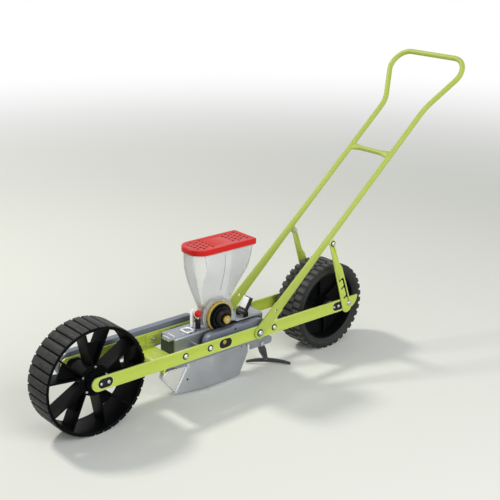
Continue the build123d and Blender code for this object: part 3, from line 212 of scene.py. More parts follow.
def machine_frame():
    """From millimetres on the machine to the scene: the front axle is the origin, X runs forward along the
    bars, which slope a little, Y to the left and Z up."""
    front = joint_place("front_wheel")
    forward = (front - joint_place("rear_wheel")).normalized()
    left = Vector((0, 1, 0))
    turn = Matrix((forward, left, forward.cross(left))).transposed().to_4x4()
    return Matrix.Translation(front) @ turn @ Matrix.Scale(MM, 4)


MACHINE = machine_frame()


def handle_point(along, below=0.0):
    """A point of the handle's straight part: along it from the pivot and square below it."""
    x = HANDLE_PIVOT - along * math.cos(HANDLE_ANGLE) - below * math.sin(HANDLE_ANGLE)
    z = BAR_MIDDLE + along * math.sin(HANDLE_ANGLE) - below * math.cos(HANDLE_ANGLE)
    return x, z


def hopper_half(height):
    """Half the hopper's width at a height, which swells in a curve from the box to the top."""
    swell = math.sin(math.pi / 2 * min(1.0, (height - BOX_TOP) / (CURVE_TOP - BOX_TOP)))
    return BOX_HALF + (HOPPER_HALF - BOX_HALF) * swell ** 2


def linear(code):
    """An sRGB hex colour as linear red, green, blue and alpha."""
    values = []
    for start in (0, 2, 4):
        share = int(code[start:start + 2], 16) / 255
        values.append(share / 12.92 if share <= 0.04045 else ((share + 0.055) / 1.055) ** 2.4)
    return (*values, 1.0)


def colour(label, code, words):
    """A colour that a user can change, given as an sRGB hex value."""
    return FloatVectorProperty(name=label, description=words, subtype="COLOR", size=4, min=0.0, max=1.0,
                               default=linear(code))


def length(label, size, words):
    """A length in millimetres that a user can change."""
    return FloatProperty(name=label, description=words, default=size * MM, min=0.0, subtype="DISTANCE",
                         unit="LENGTH")


class PlanterFinish(PropertyGroup):
    """Colours and finishes of the planter."""
    lime: colour("Lime paint", "BACC4B", "Bars, front bracket and struts")
    lime_shade: colour("Lime shade", "AFC140", "Deeper patches of the coat")
    # Pale edge colour: partly thinner paint, partly a painted highlight along the edges
    lime_edge: colour("Lime edge", "F2F6C8", "Thin paint along the edges")
    tube: colour("Handle paint", "ACBC50", "Handle's tube and crossbar")
    tube_shade: colour("Handle shade", "A2B245", "Deeper patches of the coat")
    red: colour("Red plastic", "C0170F", "Lid and knob")
    # Pale red along the edges: a painted highlight
    red_edge: colour("Red edge", "EE9A86", "Edges of the lid and knob, paled by handling")
    red_hole: colour("Lid hole", "4A0708", "Shaded inside of the lid's holes")
    black: colour("Black nylon", "0F1012", "Bearing blocks, gears and latch lever")
    wheel: colour("Wheel plastic", "090A0B", "Front wheel and rear rim")
    rubber: colour("Tyre rubber", "232524", "Rear tyre")
    # Grey of the lug tops: partly scuffing, partly a painted highlight
    scuff_and_sheen: colour("Scuffed tread", "4B4C4A", "Tops of the lugs, rubbed grey by the ground")
    dust: colour("Field dust", "4A4740", "Dry soil that clings to the tyre")
    slate: colour("Slate paint", "717887", "Chain cases")
    slate_shade: colour("Slate shade", "656B7A", "Deeper patches of the coat")
    # Pale edge colour: partly thinner paint, partly a painted highlight along the edges
    slate_edge: colour("Slate edge", "B4B8C1", "Thin paint along the edges")
    steel: colour("Sheet steel", "B9BBC1", "Shoe and its strap")
    dull: colour("Dull steel", "999EA5", "Housing and the coverer's arm")
    # Lighter copy of the sheet steel: polished steel that also paints a highlight where it is used
    bright: colour("Bright steel", "E6E8EC", "Strap edges, shoe nose, deck loop and tabs")
    # Bright edge colour of the sheet steel: partly rubbed steel, partly a painted highlight
    rubbed_and_lit: colour("Rubbed steel", "E6E7EA", "Edges of sheet steel, rubbed bright")
    # Dark colour of the housing's front plate, which paints the shade on the front face
    front_shade: colour("Phosphated steel", "3B4046", "Front plate of the housing")
    dark: colour("Dark paint", "2C2D2F", "Coverer's stem and bow")
    dark_shade: colour("Dark shade", "262729", "Deeper patches of the coat")
    # Pale edge colour: partly thinner paint, partly a painted highlight along the edges
    dark_edge: colour("Dark edge", "8E9096", "Thin paint along the edges")
    zinc: colour("Zinc plate", "D2D5DA", "Bolts, nuts, axles and spacers")
    # Dark washers paint the shadow ring round the bolt heads
    washer: colour("Washer steel", "3A3B3E", "Blackened washers below the bolt heads")
    oxide: colour("Black oxide", "4A4B4E", "Screws of the chain cases")
    blued: colour("Blued steel", "3C3E42", "Screws of the shoe and the deck")
    chain: colour("Oiled steel", "77787C", "Chains and sprockets")
    passivate: colour("Yellow zinc", "D7B45A", "Jackshaft")
    brass: colour("Brass", "D9B85C", "Hand nut of the roller")
    clear: colour("Clear plastic", "E4E7E9", "Hopper and seed box")
    clear_edge: colour("Clear plastic edge", "3A4045", "Where a clear wall is seen edge on")
    clear_ring: colour("Clear ring", "C9CCD0", "Ring round the roller's port")
    tan: colour("Tan nylon", "B89F42", "Seed roller")
    fibre: colour("Brush fibre", "5A5348", "Brush beside the roller")
    white: colour("White plastic", "F3F4F6", "Latch face and the strip behind the plunger")


class PlanterDetail(PropertyGroup):
    """Sizes of the fine work."""
    edge_round: length("Edge rounding", 0.6, "Width of the softened edges of cut plates")
    mould_round: length("Moulded rounding", 1.2, "Width of the softened edges of moulded pieces")
    washer: length("Washer", 1.2, "Thickness of the washers below the bolt heads")
    bead: length("Weld bead", 1.9, "Half width of the weld beads on the handle")
    seam: length("Mould seam", 1.1, "Half width of the moulded seams of the hopper")


class PlanterStage(PropertyGroup):
    """Camera, floor and light."""
    lens: FloatProperty(name="Lens", description="Focal length on a 36 mm sensor", default=75.6, min=10.0)
    azimuth: FloatProperty(name="Azimuth", description="Turn of the camera about the upright axis",
                           default=math.radians(139.52), subtype="ANGLE", unit="ROTATION")
    elevation: FloatProperty(name="Elevation", description="Angle of the camera above the floor",
                             default=math.radians(19.73), subtype="ANGLE", unit="ROTATION")
    place: FloatVectorProperty(name="Camera place", description="Where the camera stands", size=3,
                               default=(1.8391, 2.1216, 1.3674), subtype="XYZ", unit="LENGTH")
    floor: colour("Floor", "E3E5DF", "Pale plain floor")
    sky: colour("Sky", "F4F7FA", "Soft light from all round")
    soft: FloatProperty(name="Soft light", description="Strength of the light from all round", default=0.41,
                        min=0.0)


def choices(context):
    """The finishes and the fine sizes that are set in the scene."""
    return context.scene.planter_finish, context.scene.planter_detail


def set_inputs(tree, node, values):
    """Sets a node's inputs and options. A value that is another node's output is joined to the input."""
    for key, value in values.items():
        if isinstance(value, bpy.types.NodeSocket):
            tree.links.new(value, node.inputs[key])
        elif isinstance(key, int) or key in node.inputs:
            node.inputs[key].default_value = value
        else:
            setattr(node, key, value)


def shader_node(tree, kind, values=None):
    """Adds one node with its settings and its links."""
    node = tree.nodes.new("ShaderNode" + kind)
    set_inputs(tree, node, values or {})
    return node


def per_mm(size):
    """The scale of a pattern whose features are so many millimetres wide."""
    return 1000.0 / size


def start_material(name):
    """A new material with its tree, its object coordinates and its main shader."""
    material = bpy.data.materials.new(name)
    material.use_nodes = True
    tree = material.node_tree
    tree.nodes.clear()
    place = shader_node(tree, "TexCoord").outputs["Object"]
    shader = shader_node(tree, "BsdfPrincipled")
    shader_node(tree, "OutputMaterial", {"Surface": shader.outputs["BSDF"]})
    return material, tree, place, shader


def edge_mask(tree, radius, low):
    """White along edges within a radius in millimetres, where a rounded normal leans from the true one."""
    rounded = shader_node(tree, "Bevel", {"samples": 6, "Radius": radius * MM})
    true = shader_node(tree, "NewGeometry")
    lean = shader_node(tree, "VectorMath", {
        "operation": "DOT_PRODUCT", 0: rounded.outputs["Normal"], 1: true.outputs["Normal"]})
    mask = shader_node(tree, "MapRange", {
        "Value": lean.outputs["Value"], "From Min": 0.985, "From Max": low})
    return mask.outputs["Result"]


def powder_coat(name, base, shade, rough, peel=0.05, pale=None, edge_wear_and_light=0.0):
    """Powder-coated steel: baked in one thick even layer, so the eye sees a soft gloss, a faint orange
    peel and, where pale is given, paler edges: partly thinner paint along the cut edges, partly a painted
    highlight."""
    material, tree, place, shader = start_material(name)
    patches = shader_node(tree, "TexNoise", {"Scale": per_mm(70), "Detail": 3.0, "Vector": place})
    tint = shader_node(tree, "Mix", {"data_type": "RGBA", 0: patches.outputs["Fac"], 6: base, 7: shade})
    scuffs = shader_node(tree, "TexNoise", {"Scale": per_mm(9), "Detail": 4.0, "Vector": place})
    # Pale edges: partly thinner paint, partly a painted highlight
    if pale is not None:
        share = shader_node(tree, "MapRange", {
            "Value": scuffs.outputs["Fac"], "To Min": edge_wear_and_light * 0.6, "To Max": edge_wear_and_light})
        worn_and_lit = shader_node(tree, "Math", {
            "operation": "MULTIPLY", 0: edge_mask(tree, 3.0, 0.80), 1: share.outputs["Result"]})
        tint = shader_node(tree, "Mix", {
            "data_type": "RGBA", 0: worn_and_lit.outputs["Value"], 6: tint.outputs[2], 7: pale})
        set_inputs(tree, shader, {"Coat Weight": 0.2, "Coat Roughness": 0.2})
    gloss = shader_node(tree, "MapRange", {
        "Value": scuffs.outputs["Fac"], "To Min": rough - 0.05, "To Max": rough + 0.08})
    orange = shader_node(tree, "TexNoise", {"Scale": per_mm(2.2), "Detail": 2.0, "Vector": place})
    bump = shader_node(tree, "Bump", {
        "Strength": peel, "Distance": 0.2 * MM, "Height": orange.outputs["Fac"]})
    set_inputs(tree, shader, {
        "Base Color": tint.outputs[2],
        "Roughness": gloss.outputs["Result"],
        "Normal": bump.outputs["Normal"]})
    return material


def plated_steel(name, base, rough):
    """Plated or turned metal: barrel finished, so the eye sees a bright metal with cloudy patches and small
    nicks, which are drawn coarser than real ones so that they show."""
    material, tree, place, shader = start_material(name)
    clouds = shader_node(tree, "TexNoise", {"Scale": per_mm(6), "Detail": 4.0, "Vector": place})
    dull = tuple(value * 0.72 for value in base[:3]) + (1.0,)
    tint = shader_node(tree, "Mix", {"data_type": "RGBA", 0: clouds.outputs["Fac"], 6: base, 7: dull})
    gloss = shader_node(tree, "MapRange", {
        "Value": clouds.outputs["Fac"], "To Min": rough - 0.06, "To Max": rough + 0.14})
    nicks = shader_node(tree, "TexNoise", {"Scale": per_mm(1.2), "Detail": 2.0, "Vector": place})
    bump = shader_node(tree, "Bump", {
        "Strength": 0.12, "Distance": 0.1 * MM, "Height": nicks.outputs["Fac"]})
    set_inputs(tree, shader, {
        "Base Color": tint.outputs[2],
        "Roughness": gloss.outputs["Result"],
        "Normal": bump.outputs["Normal"],
        "Metallic": 1.0})
    return material


def sheet_steel(name, base, edge, rough, metallic):
    """Cold-rolled sheet steel, satin finished: the eye sees lines along the rolling direction, drawn coarser
    than real ones so that they show, a soft grey sheen and brighter metal along the edges: partly rubbed
    steel, partly a painted highlight."""
    material, tree, place, shader = start_material(name)
    stretch = (per_mm(90), per_mm(1.4), per_mm(1.4))
    drawn = shader_node(tree, "Mapping", {"Scale": stretch, "Vector": place})
    lines = shader_node(tree, "TexNoise", {"Scale": 1.0, "Detail": 3.0, "Vector": drawn.outputs["Vector"]})
    clouds = shader_node(tree, "TexNoise", {"Scale": per_mm(55), "Detail": 2.0, "Vector": place})
    tone = shader_node(tree, "MapRange", {"Value": lines.outputs["Fac"], "To Min": 0.92, "To Max": 1.06})
    broad = shader_node(tree, "MapRange", {"Value": clouds.outputs["Fac"], "To Min": 0.86, "To Max": 1.1})
    both = shader_node(tree, "Math", {
        "operation": "MULTIPLY", 0: broad.outputs["Result"], 1: tone.outputs["Result"]})
    tint = shader_node(tree, "Mix", {
        "data_type": "RGBA", "blend_type": "MULTIPLY", 0: 1.0, 6: base, 7: both.outputs["Value"]})
    # Brighter edges: partly rubbed steel, partly a painted highlight
    rubbed_and_lit = shader_node(tree, "Mix", {
        "data_type": "RGBA", 0: edge_mask(tree, 1.4, 0.80), 6: tint.outputs[2], 7: edge})
    gloss = shader_node(tree, "MapRange", {
        "Value": lines.outputs["Fac"], "To Min": rough - 0.06, "To Max": rough + 0.08})
    bump = shader_node(tree, "Bump", {
        "Strength": 0.06, "Distance": 0.1 * MM, "Height": lines.outputs["Fac"]})
    set_inputs(tree, shader, {
        "Base Color": rubbed_and_lit.outputs[2],
        "Roughness": gloss.outputs["Result"],
        "Normal": bump.outputs["Normal"],
        "Metallic": metallic})
    return material


def lug_tops_scuffed_and_lit(tree, place, paint, node, depth, scuff_and_sheen):
    """Makes a wheel's lugs grey where they lie farthest from its middle: partly scuffing by the ground,
    partly a painted highlight on the lug tops.
    """
    corners = [Vector(corner) for corner in node.bound_box]
    middle = sum(corners, Vector()) / len(corners)
    radius = max(corner.z for corner in corners) - middle.z
    spoke = shader_node(tree, "VectorMath", {"operation": "SUBTRACT", 0: place, 1: middle})
    flat = shader_node(tree, "VectorMath", {
        "operation": "MULTIPLY", 0: spoke.outputs["Vector"], 1: (1, 0, 1)})
    far = shader_node(tree, "VectorMath", {"operation": "LENGTH", 0: flat.outputs["Vector"]})
    top = shader_node(tree, "MapRange", {
        "Value": far.outputs["Value"], "From Min": radius - depth, "From Max": radius - depth * 0.4})
    top_breakup = shader_node(tree, "TexNoise", {"Scale": per_mm(12), "Detail": 4.0, "Vector": place})
    share = shader_node(tree, "Math", {"operation": "ADD", "use_clamp": True, 0: top_breakup.outputs["Fac"], 1: 0.3})
    worn_and_lit = shader_node(tree, "Math", {
        "operation": "MULTIPLY", 0: top.outputs["Result"], 1: share.outputs["Value"]})
    mixed = shader_node(tree, "Mix", {"data_type": "RGBA", 0: worn_and_lit.outputs["Value"], 6: paint, 7: scuff_and_sheen})
    return mixed.outputs[2]


def moulded_plastic(name, base, rough, grain, specular=0.45, lugs=None, pale=None):
    """Injection-moulded plastic: spark-eroded mould walls leave an even grain, drawn coarser than the real
    one so that it shows, and handling polishes the edges; where pale is given, a painted highlight pales
    them."""
    material, tree, place, shader = start_material(name)
    clouds = shader_node(tree, "TexNoise", {"Scale": per_mm(45), "Detail": 3.0, "Vector": place})
    lighter = tuple(min(1.0, value * 1.2 + 0.001) for value in base[:3]) + (1.0,)
    tint = shader_node(tree, "Mix", {"data_type": "RGBA", 0: clouds.outputs["Fac"], 6: base, 7: lighter})
    edges = edge_mask(tree, 1.6, 0.78)
    # Paler colour along the edges: a painted highlight
    if pale is not None:
        painted_edge_highlight = shader_node(tree, "Math", {"operation": "MULTIPLY", 0: edges, 1: 0.55})
        tint = shader_node(tree, "Mix", {
            "data_type": "RGBA", 0: painted_edge_highlight.outputs["Value"], 6: tint.outputs[2], 7: pale})
    paint = tint.outputs[2]
    if lugs is not None:
        paint = lug_tops_scuffed_and_lit(tree, place, paint, *lugs)
    gloss = shader_node(tree, "MapRange", {"Value": edges, "To Min": rough + 0.04, "To Max": rough - 0.14})
    fine = shader_node(tree, "TexNoise", {"Scale": per_mm(grain), "Detail": 2.0, "Vector": place})
    bump = shader_node(tree, "Bump", {
        "Strength": 0.14, "Distance": 0.15 * MM, "Height": fine.outputs["Fac"]})
    set_inputs(tree, shader, {
        "Base Color": paint,
        "Roughness": gloss.outputs["Result"],
        "Normal": bump.outputs["Normal"],
        "Specular IOR Level": specular})
    return material


def dusty_rubber(name, base, dust, lugs):
    """Vulcanised rubber: carbon black, matt from the mould, with a little dry soil held in its pores, which
    are drawn coarser than real ones so that they show."""
    material, tree, place, shader = start_material(name)
    soil = shader_node(tree, "TexNoise", {
        "Scale": per_mm(26), "Detail": 6.0, "Roughness": 0.65, "Vector": place})
    share = shader_node(tree, "MapRange", {
        "Value": soil.outputs["Fac"], "From Min": 0.5, "From Max": 0.85, "To Min": 0.0, "To Max": 0.16})
    tint = shader_node(tree, "Mix", {"data_type": "RGBA", 0: share.outputs["Result"], 6: base, 7: dust})
    pores = shader_node(tree, "TexNoise", {"Scale": per_mm(1.6), "Detail": 3.0, "Vector": place})
    bump = shader_node(tree, "Bump", {
        "Strength": 0.2, "Distance": 0.2 * MM, "Height": pores.outputs["Fac"]})
    set_inputs(tree, shader, {
        "Base Color": lug_tops_scuffed_and_lit(tree, place, tint.outputs[2], *lugs),
        "Roughness": 0.62,
        "Normal": bump.outputs["Normal"],
        "Specular IOR Level": 0.3})
    return material


def clear_plastic(name, base, edge, haze):
    """Moulded clear styrene: the eye looks through it, sees a faint haze and the room's reflection on its
    face, and a thin line, of the edge's colour where one is given, where a wall is seen edge on."""
    material, tree, place, shader = start_material(name)
    lean = shader_node(tree, "LayerWeight", {"Blend": 0.5})
    rim = shader_node(tree, "MapRange", {
        "interpolation_type": "SMOOTHSTEP",
        "Value": lean.outputs["Facing"], "From Min": 0.64, "From Max": 0.95})
    tint = base
    if edge is not None:
        mixed = shader_node(tree, "Mix", {"data_type": "RGBA", 0: rim.outputs["Result"], 6: base, 7: edge})
        tint = mixed.outputs[2]
    mirror = shader_node(tree, "Fresnel", {"IOR": 1.49})
    clouds = shader_node(tree, "TexNoise", {"Scale": per_mm(60), "Detail": 2.0, "Vector": place})
    veil = shader_node(tree, "MapRange", {
        "Value": clouds.outputs["Fac"], "To Min": haze * 0.5, "To Max": haze * 1.5})
    body = shader_node(tree, "Math", {
        "operation": "MULTIPLY_ADD", 0: mirror.outputs["Fac"], 1: 0.55, 2: veil.outputs["Result"]})
    line = shader_node(tree, "Math", {
        "operation": "MULTIPLY_ADD", "use_clamp": True,
        0: rim.outputs["Result"], 1: 0.8, 2: body.outputs["Value"]})
    ripple = shader_node(tree, "TexNoise", {"Scale": per_mm(30), "Detail": 1.0, "Vector": place})
    bump = shader_node(tree, "Bump", {
        "Strength": 0.06, "Distance": 0.6 * MM, "Height": ripple.outputs["Fac"]})
    set_inputs(tree, shader, {
        "Base Color": tint,
        "Alpha": line.outputs["Value"],
        "Roughness": 0.08,
        "Normal": bump.outputs["Normal"],
        "Metallic": 0.35})
    return material


def dress(names, material, width=0.0):
    """Gives CAD nodes a material, and rounds their edges with modifiers that leave the solids as they are."""
    for name in names:
        node = NODES[name]
        node.data.materials.clear()
        node.data.materials.append(material)
        for polygon in node.data.polygons:
            polygon.use_smooth = True
        join = node.modifiers.new("join", "WELD")
        join.merge_threshold = 0.01 * MM
        if width > 0:
            soften = node.modifiers.new("soften", "BEVEL")
            soften.width = width
            soften.segments = 2
            soften.limit_method = "ANGLE"
            soften.angle_limit = math.radians(35)
        corners = node.modifiers.new("corners", "EDGE_SPLIT")
        corners.split_angle = math.radians(40)


def corner_reach(section, angle):
    """How far a section of unit size stands out at an angle: a hexagon, a cross-head recess or a circle."""
    if "hexagon" in section:
        return math.cos(math.pi / 6) / math.cos(angle % (math.pi / 3) - math.pi / 6)
    if "cross" in section:
        return 1.0 if round(angle / (math.pi / 12)) % 6 == 0 else 0.42
    return 1.0


def ring(shape, middle, first, second, radius, steps, section=()):
    """A ring of points about a middle, in the plane of two directions. A radius of 0 gives one point."""
    if radius == 0:
        return [shape.verts.new(middle)]
    points = []
    for step in range(steps):
        angle = 2 * math.pi * step / steps
        size = radius * corner_reach(section, angle)
        points.append(shape.verts.new(middle + (first * math.cos(angle) + second * math.sin(angle)) * size))
    return points


def skin(shape, loops):
    """Faces from each ring of points to the next."""
    for low, high in zip(loops, loops[1:]):
        steps = max(len(low), len(high))
        for step in range(steps):
            after = (step + 1) % steps
            if len(low) == 1:
                shape.faces.new((low[0], high[step], high[after]))
            elif len(high) == 1:
                shape.faces.new((low[step], low[after], high[0]))
            else:
                shape.faces.new((low[step], low[after], high[after], high[step]))


def turned(shape, centre, axis, rings, steps=24):
    """Turns a profile about an axis. Each ring is a radius, a height and a section where it isn't round."""
    axis = Vector(axis).normalized()
    side = Vector((0, 0, 1)) if abs(axis.z) < 0.9 else Vector((1, 0, 0))
    side = (side - axis * side.dot(axis)).normalized()
    other = axis.cross(side)
    skin(shape, [ring(shape, Vector(centre) + axis * height, side, other, radius, steps, section)
                 for radius, height, *section in rings])


def bead(shape, points, radii, closed=False, sides=8):
    """A round bead along points, with one radius for each point or one for all."""
    points = [Vector(point) for point in points]
    count = len(points)
    if isinstance(radii, float):
        radii = [radii] * count
    loops = []
    lift = None
    for place, (point, radius) in enumerate(zip(points, radii)):
        after = points[(place + 1) % count] if closed or place < count - 1 else point
        before = points[place - 1] if closed or place > 0 else point
        along = (after - before).normalized()
        if lift is None:
            lift = Vector((0, 1, 0)) if abs(along.y) < 0.9 else Vector((1, 0, 0))
        lift = (lift - along * lift.dot(along)).normalized()
        loops.append(ring(shape, point, lift, along.cross(lift), radius, sides))
    if closed:
        skin(shape, loops + loops[:1])
    else:
        skin(shape, loops)
        shape.faces.new(loops[0])
        shape.faces.new(loops[-1])


def slab(shape, low, high):
    """A block between two corners."""
    corners = [shape.verts.new((x, y, z)) for x in (low[0], high[0]) for y in (low[1], high[1])
               for z in (low[2], high[2])]
    for face in ((0, 1, 3, 2), (4, 6, 7, 5), (0, 4, 5, 1), (2, 3, 7, 6), (0, 2, 6, 4), (1, 5, 7, 3)):
        shape.faces.new([corners[place] for place in face])


def arc_points(centre, radius, count, apart, start=0.0):
    """Points of an arc in the plane that the wheels turn in, so many degrees apart."""
    points = []
    for step in range(count):
        angle = math.radians(start + step * apart)
        points.append(Vector(centre) + Vector((radius * math.cos(angle), 0, radius * math.sin(angle))))
    return points


def wheel_rings(axle, rings):
    """Circles on both walls of a wheel."""
    return [arc_points((axle, side * wide, 0), radius, WHEEL_POINTS, 360 / WHEEL_POINTS)
            for side in SIDES for radius, wide in rings]


def rounded_loop(centre, deep, wide, corner):
    """Points around a level rectangle with round corners, from its front left corner on."""
    points = []
    for along, across, start in ((1, 1, 0), (-1, 1, 90), (-1, -1, 180), (1, -1, 270)):
        for step in range(CORNER_STEPS):
            angle = math.radians(start + 90 * step / (CORNER_STEPS - 1))
            points.append((centre[0] + along * (deep / 2 - corner) + corner * math.cos(angle),
                           centre[1] + across * (wide / 2 - corner) + corner * math.sin(angle), centre[2]))
    return points


def weld_ripple(high, low, count):
    """Radii that rise and fall along a weld."""
    return [high if place % 2 else low for place in range(count)]


def tapered(middle, end, count):
    """Radii of a bead that is thinner at its two ends."""
    return [end] + [middle] * (count - 2) + [end]


def add_piece(name, shape, material, body, stands_for=()):
    """Makes a piece from a mesh in machine millimetres and lets it ride its body."""
    bmesh.ops.recalc_face_normals(shape, faces=shape.faces)
    shape.transform(MACHINE)
    mesh = bpy.data.meshes.new(name)
    shape.to_mesh(mesh)
    shape.free()
    for polygon in mesh.polygons:
        polygon.use_smooth = True
    mesh.set_sharp_from_angle(angle=math.radians(38))
    mesh.materials.append(material)
    piece = bpy.data.objects.new(name, mesh)
    bpy.context.scene.collection.objects.link(piece)
    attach(piece, body)
    if stands_for:
        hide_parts(*stands_for)


def add_beads(name, runs, radii, material, body, closed=False, sides=8):
    """Makes a piece of round beads, one along each run of points."""
    shape = bmesh.new()
    for points in runs:
        bead(shape, points, radii, closed, sides)
    add_piece(name, shape, material, body)


def flat_washer(shape, centre, axis, radius, height):
    """A flat washer with soft edges."""
    soft = 0.3
    rings = [(0, -soft), (radius - soft, 0.0), (radius, soft), (radius, height - soft),
             (radius - soft, height), (0, height)]
    turned(shape, centre, axis, rings)


def bolt_head(shape, centre, axis, radius, height, washer):
    """A domed head with a hexagon socket that stands on a washer."""
    socket = radius * 0.42
    dome = height - washer
    foot = washer - 0.3
    rings = [(0, foot), (radius - 0.1, foot), (radius, washer + 0.15)]
    for share in (0.25, 0.5, 0.72, 0.88, 0.97):
        rings.append((radius * math.sqrt(1 - share * share * 0.72), washer + dome * share))
    rings += [(socket * 1.25, height), (socket, height - 0.2, "hexagon"),
              (socket, height - dome * 0.7, "hexagon"), (0, height - dome * 0.8)]
    turned(shape, centre, axis, rings)


def chamfered_nut(shape, centre, axis, size, height, thread, stub):
    """A chamfered hexagon nut. The end of a thread, given by its radius, stands out of it by the stub."""
    flat = size / 2 * 0.98
    corner = size / math.sqrt(3)
    chamfer = 0.7
    rings = [(0, -0.2), (flat, 0.0), (corner, chamfer, "hexagon"), (corner, height - chamfer, "hexagon"),
             (flat, height), (thread + 0.5, height), (thread + 0.1, height - 0.4)]
    for turn in range(math.ceil(stub / THREAD_PITCH)):
        crest = height + turn * THREAD_PITCH
        rings += [(thread, crest), (thread - THREAD_PITCH / 2, crest + THREAD_PITCH / 2)]
    tip = height + stub + 0.3
    rings += [(thread - 0.6, tip), (0, tip)]
    turned(shape, centre, axis, rings)


def bolt(shape, washers, x, z, side, outer, inner, sizes, washer):
    """A bolt across the machine: a washer and a head on its outer face, a nut on its inner face."""
    centre = (x, side * outer, z)
    radius, head, nut = sizes
    flat_washer(washers, centre, (0, side, 0), radius, washer)
    bolt_head(shape, centre, (0, side, 0), *head, washer)
    chamfered_nut(shape, (x, side * inner, z), (0, -side, 0), *nut)


def screw_head(shape, centre, axis, radius, height):
    """A pan head with a cross recess."""
    rings = [(0, -0.2), (radius, 0.0), (radius, height * 0.35), (radius * 0.93, height * 0.68),
             (radius * 0.78, height * 0.92), (radius * 0.62, height), (radius * 0.55, height, "cross"),
             (radius * 0.42, height * 0.45, "cross"), (0, height * 0.4)]
    turned(shape, centre, axis, rings)


def weld_ring(shape, centre, wide_way, high_way, foot, radius):
    """A rippled weld bead round an oval foot, which lies in two directions."""
    steps = 40
    wide, high = foot
    points = []
    for step in range(steps):
        angle = 2 * math.pi * step / steps
        points.append(Vector(centre) + wide_way * wide * math.cos(angle) + high_way * high * math.sin(angle))
    bead(shape, points, weld_ripple(radius, radius * 0.82, steps), closed=True)


class PLANTER_OT_frame(Operator):
    """Paints the bars, the front bracket, the handle and the struts, with the handle's welds"""
    bl_idname = "planter.frame"
    bl_label = "Frame and handle"

    def execute(self, context):
        finish, detail = choices(context)
        # Pale lime edges: partly thin paint, partly a painted highlight
        lime = powder_coat("powder_coated_steel_lime", finish.lime, finish.lime_shade, rough=0.34,
                           pale=finish.lime_edge, edge_wear_and_light=0.9)
        dress(["side_bar_left", "side_bar_right", "front_cross_bracket", "strut_left", "strut_right",
               "strut_lugs"], lime, detail.edge_round)
        smooth = powder_coat("powder_coated_tube_lime", finish.tube, finish.tube_shade, rough=0.46, peel=0.01)
        dress(["handle_tube"], smooth)
        dress(["handle_crossbar"], smooth, detail.edge_round)
        along_way = Vector((-math.cos(HANDLE_ANGLE), 0, math.sin(HANDLE_ANGLE)))
        square_way = Vector((math.sin(HANDLE_ANGLE), 0, math.cos(HANDLE_ANGLE)))
        radius = detail.bead / MM
        shape = bmesh.new()
        for side in SIDES:
            x, z = handle_point(CROSSBAR_ALONG)
            weld_ring(shape, (x, side * CROSSBAR_END, z), along_way, square_way, CROSSBAR_FOOT, radius)
            for below in LUG_WELDS_BELOW:
                ends = [handle_point(STRUT_ALONG + along, below) for along in LUG_WELD]
                points = [(x, side * LUG_FACE, z) for x, z in ends]
                bead(shape, points, weld_ripple(radius, radius * 0.8, len(points)))
        add_piece("handle_weld_beads", shape, smooth, "handle")
        return {"FINISHED"}


class PLANTER_OT_fasteners(Operator):
    """Makes the bolts, nuts, pins and screws in place of their plain solids"""
    bl_idname = "planter.fasteners"
    bl_label = "Fasteners"

    def execute(self, context):
        finish, detail = choices(context)
        washer = detail.washer / MM
        zinc = plated_steel("zinc_plated_steel", finish.zinc, rough=0.26)
        dress(["case_spacers", "front_axle_fittings", "rear_axle_fittings", "front_hub_screws", "coverer_pin",
               "plunger_stem", "front_axle", "rear_axle", "roller_shaft", "metering_shaft"],
              zinc, detail.edge_round)
        # Dark washers: painted shadow round the bolt heads
        washer_shadow = plated_steel("washer_steel_painted_shadow", finish.washer, rough=0.4)
        washers = bmesh.new()
        shape = bmesh.new()
        for side in SIDES:
            for x, inner in BAR_BOLTS:
                bolt(shape, washers, x, BAR_MIDDLE, side, BAR_OUTER, inner, BAR_BOLT, washer)
            for x, radius in BLOCK_SCREWS:
                screw_head(shape, (x, side * BAR_OUTER, BAR_MIDDLE), (0, side, 0), radius, BLOCK_SCREW_HEIGHT)
        add_piece("frame_bolt_set", shape, zinc, "frame", ["frame_bolts"])
        shape = bmesh.new()
        for side in SIDES:
            bolt(shape, washers, HANDLE_PIVOT, BAR_MIDDLE, side, HANDLE_FACE, BAR_INNER, PIVOT_BOLT, washer)
        add_piece("pivot_bolt_set", shape, zinc, "frame", ["handle_pivot_bolts"])
        add_piece("frame_washers", washers, washer_shadow, "frame")
        shape = bmesh.new()
        for side in SIDES:
            place = (STRUT_PIN, side * PIN_FACE, BAR_MIDDLE)
            screw_head(shape, place, (0, side, 0), *PIN_HEAD)
            turned(shape, place, (0, side, 0), PIN_SHANK)
        add_piece("strut_pin_set", shape, zinc, "frame", ["strut_pins"])
        shape = bmesh.new()
        for side in SIDES:
            turned(shape, (REAR_AXLE, side * COLLAR_FACE, 0), (0, side, 0), COLLAR, steps=48)
        add_piece("rear_axle_collars", shape, zinc, "frame")
        shape = bmesh.new()
        washers = bmesh.new()
        x, z = handle_point(STRUT_ALONG, STRUT_BELOW)
        for side in SIDES:
            bolt(shape, washers, x, z, side, STRUT_FACE, STRUT_BACK, STRUT_BOLT, washer)
        add_piece("strut_bolt_set", shape, zinc, "struts", ["strut_bolts"])
        add_piece("strut_washers", washers, washer_shadow, "struts")
        return {"FINISHED"}


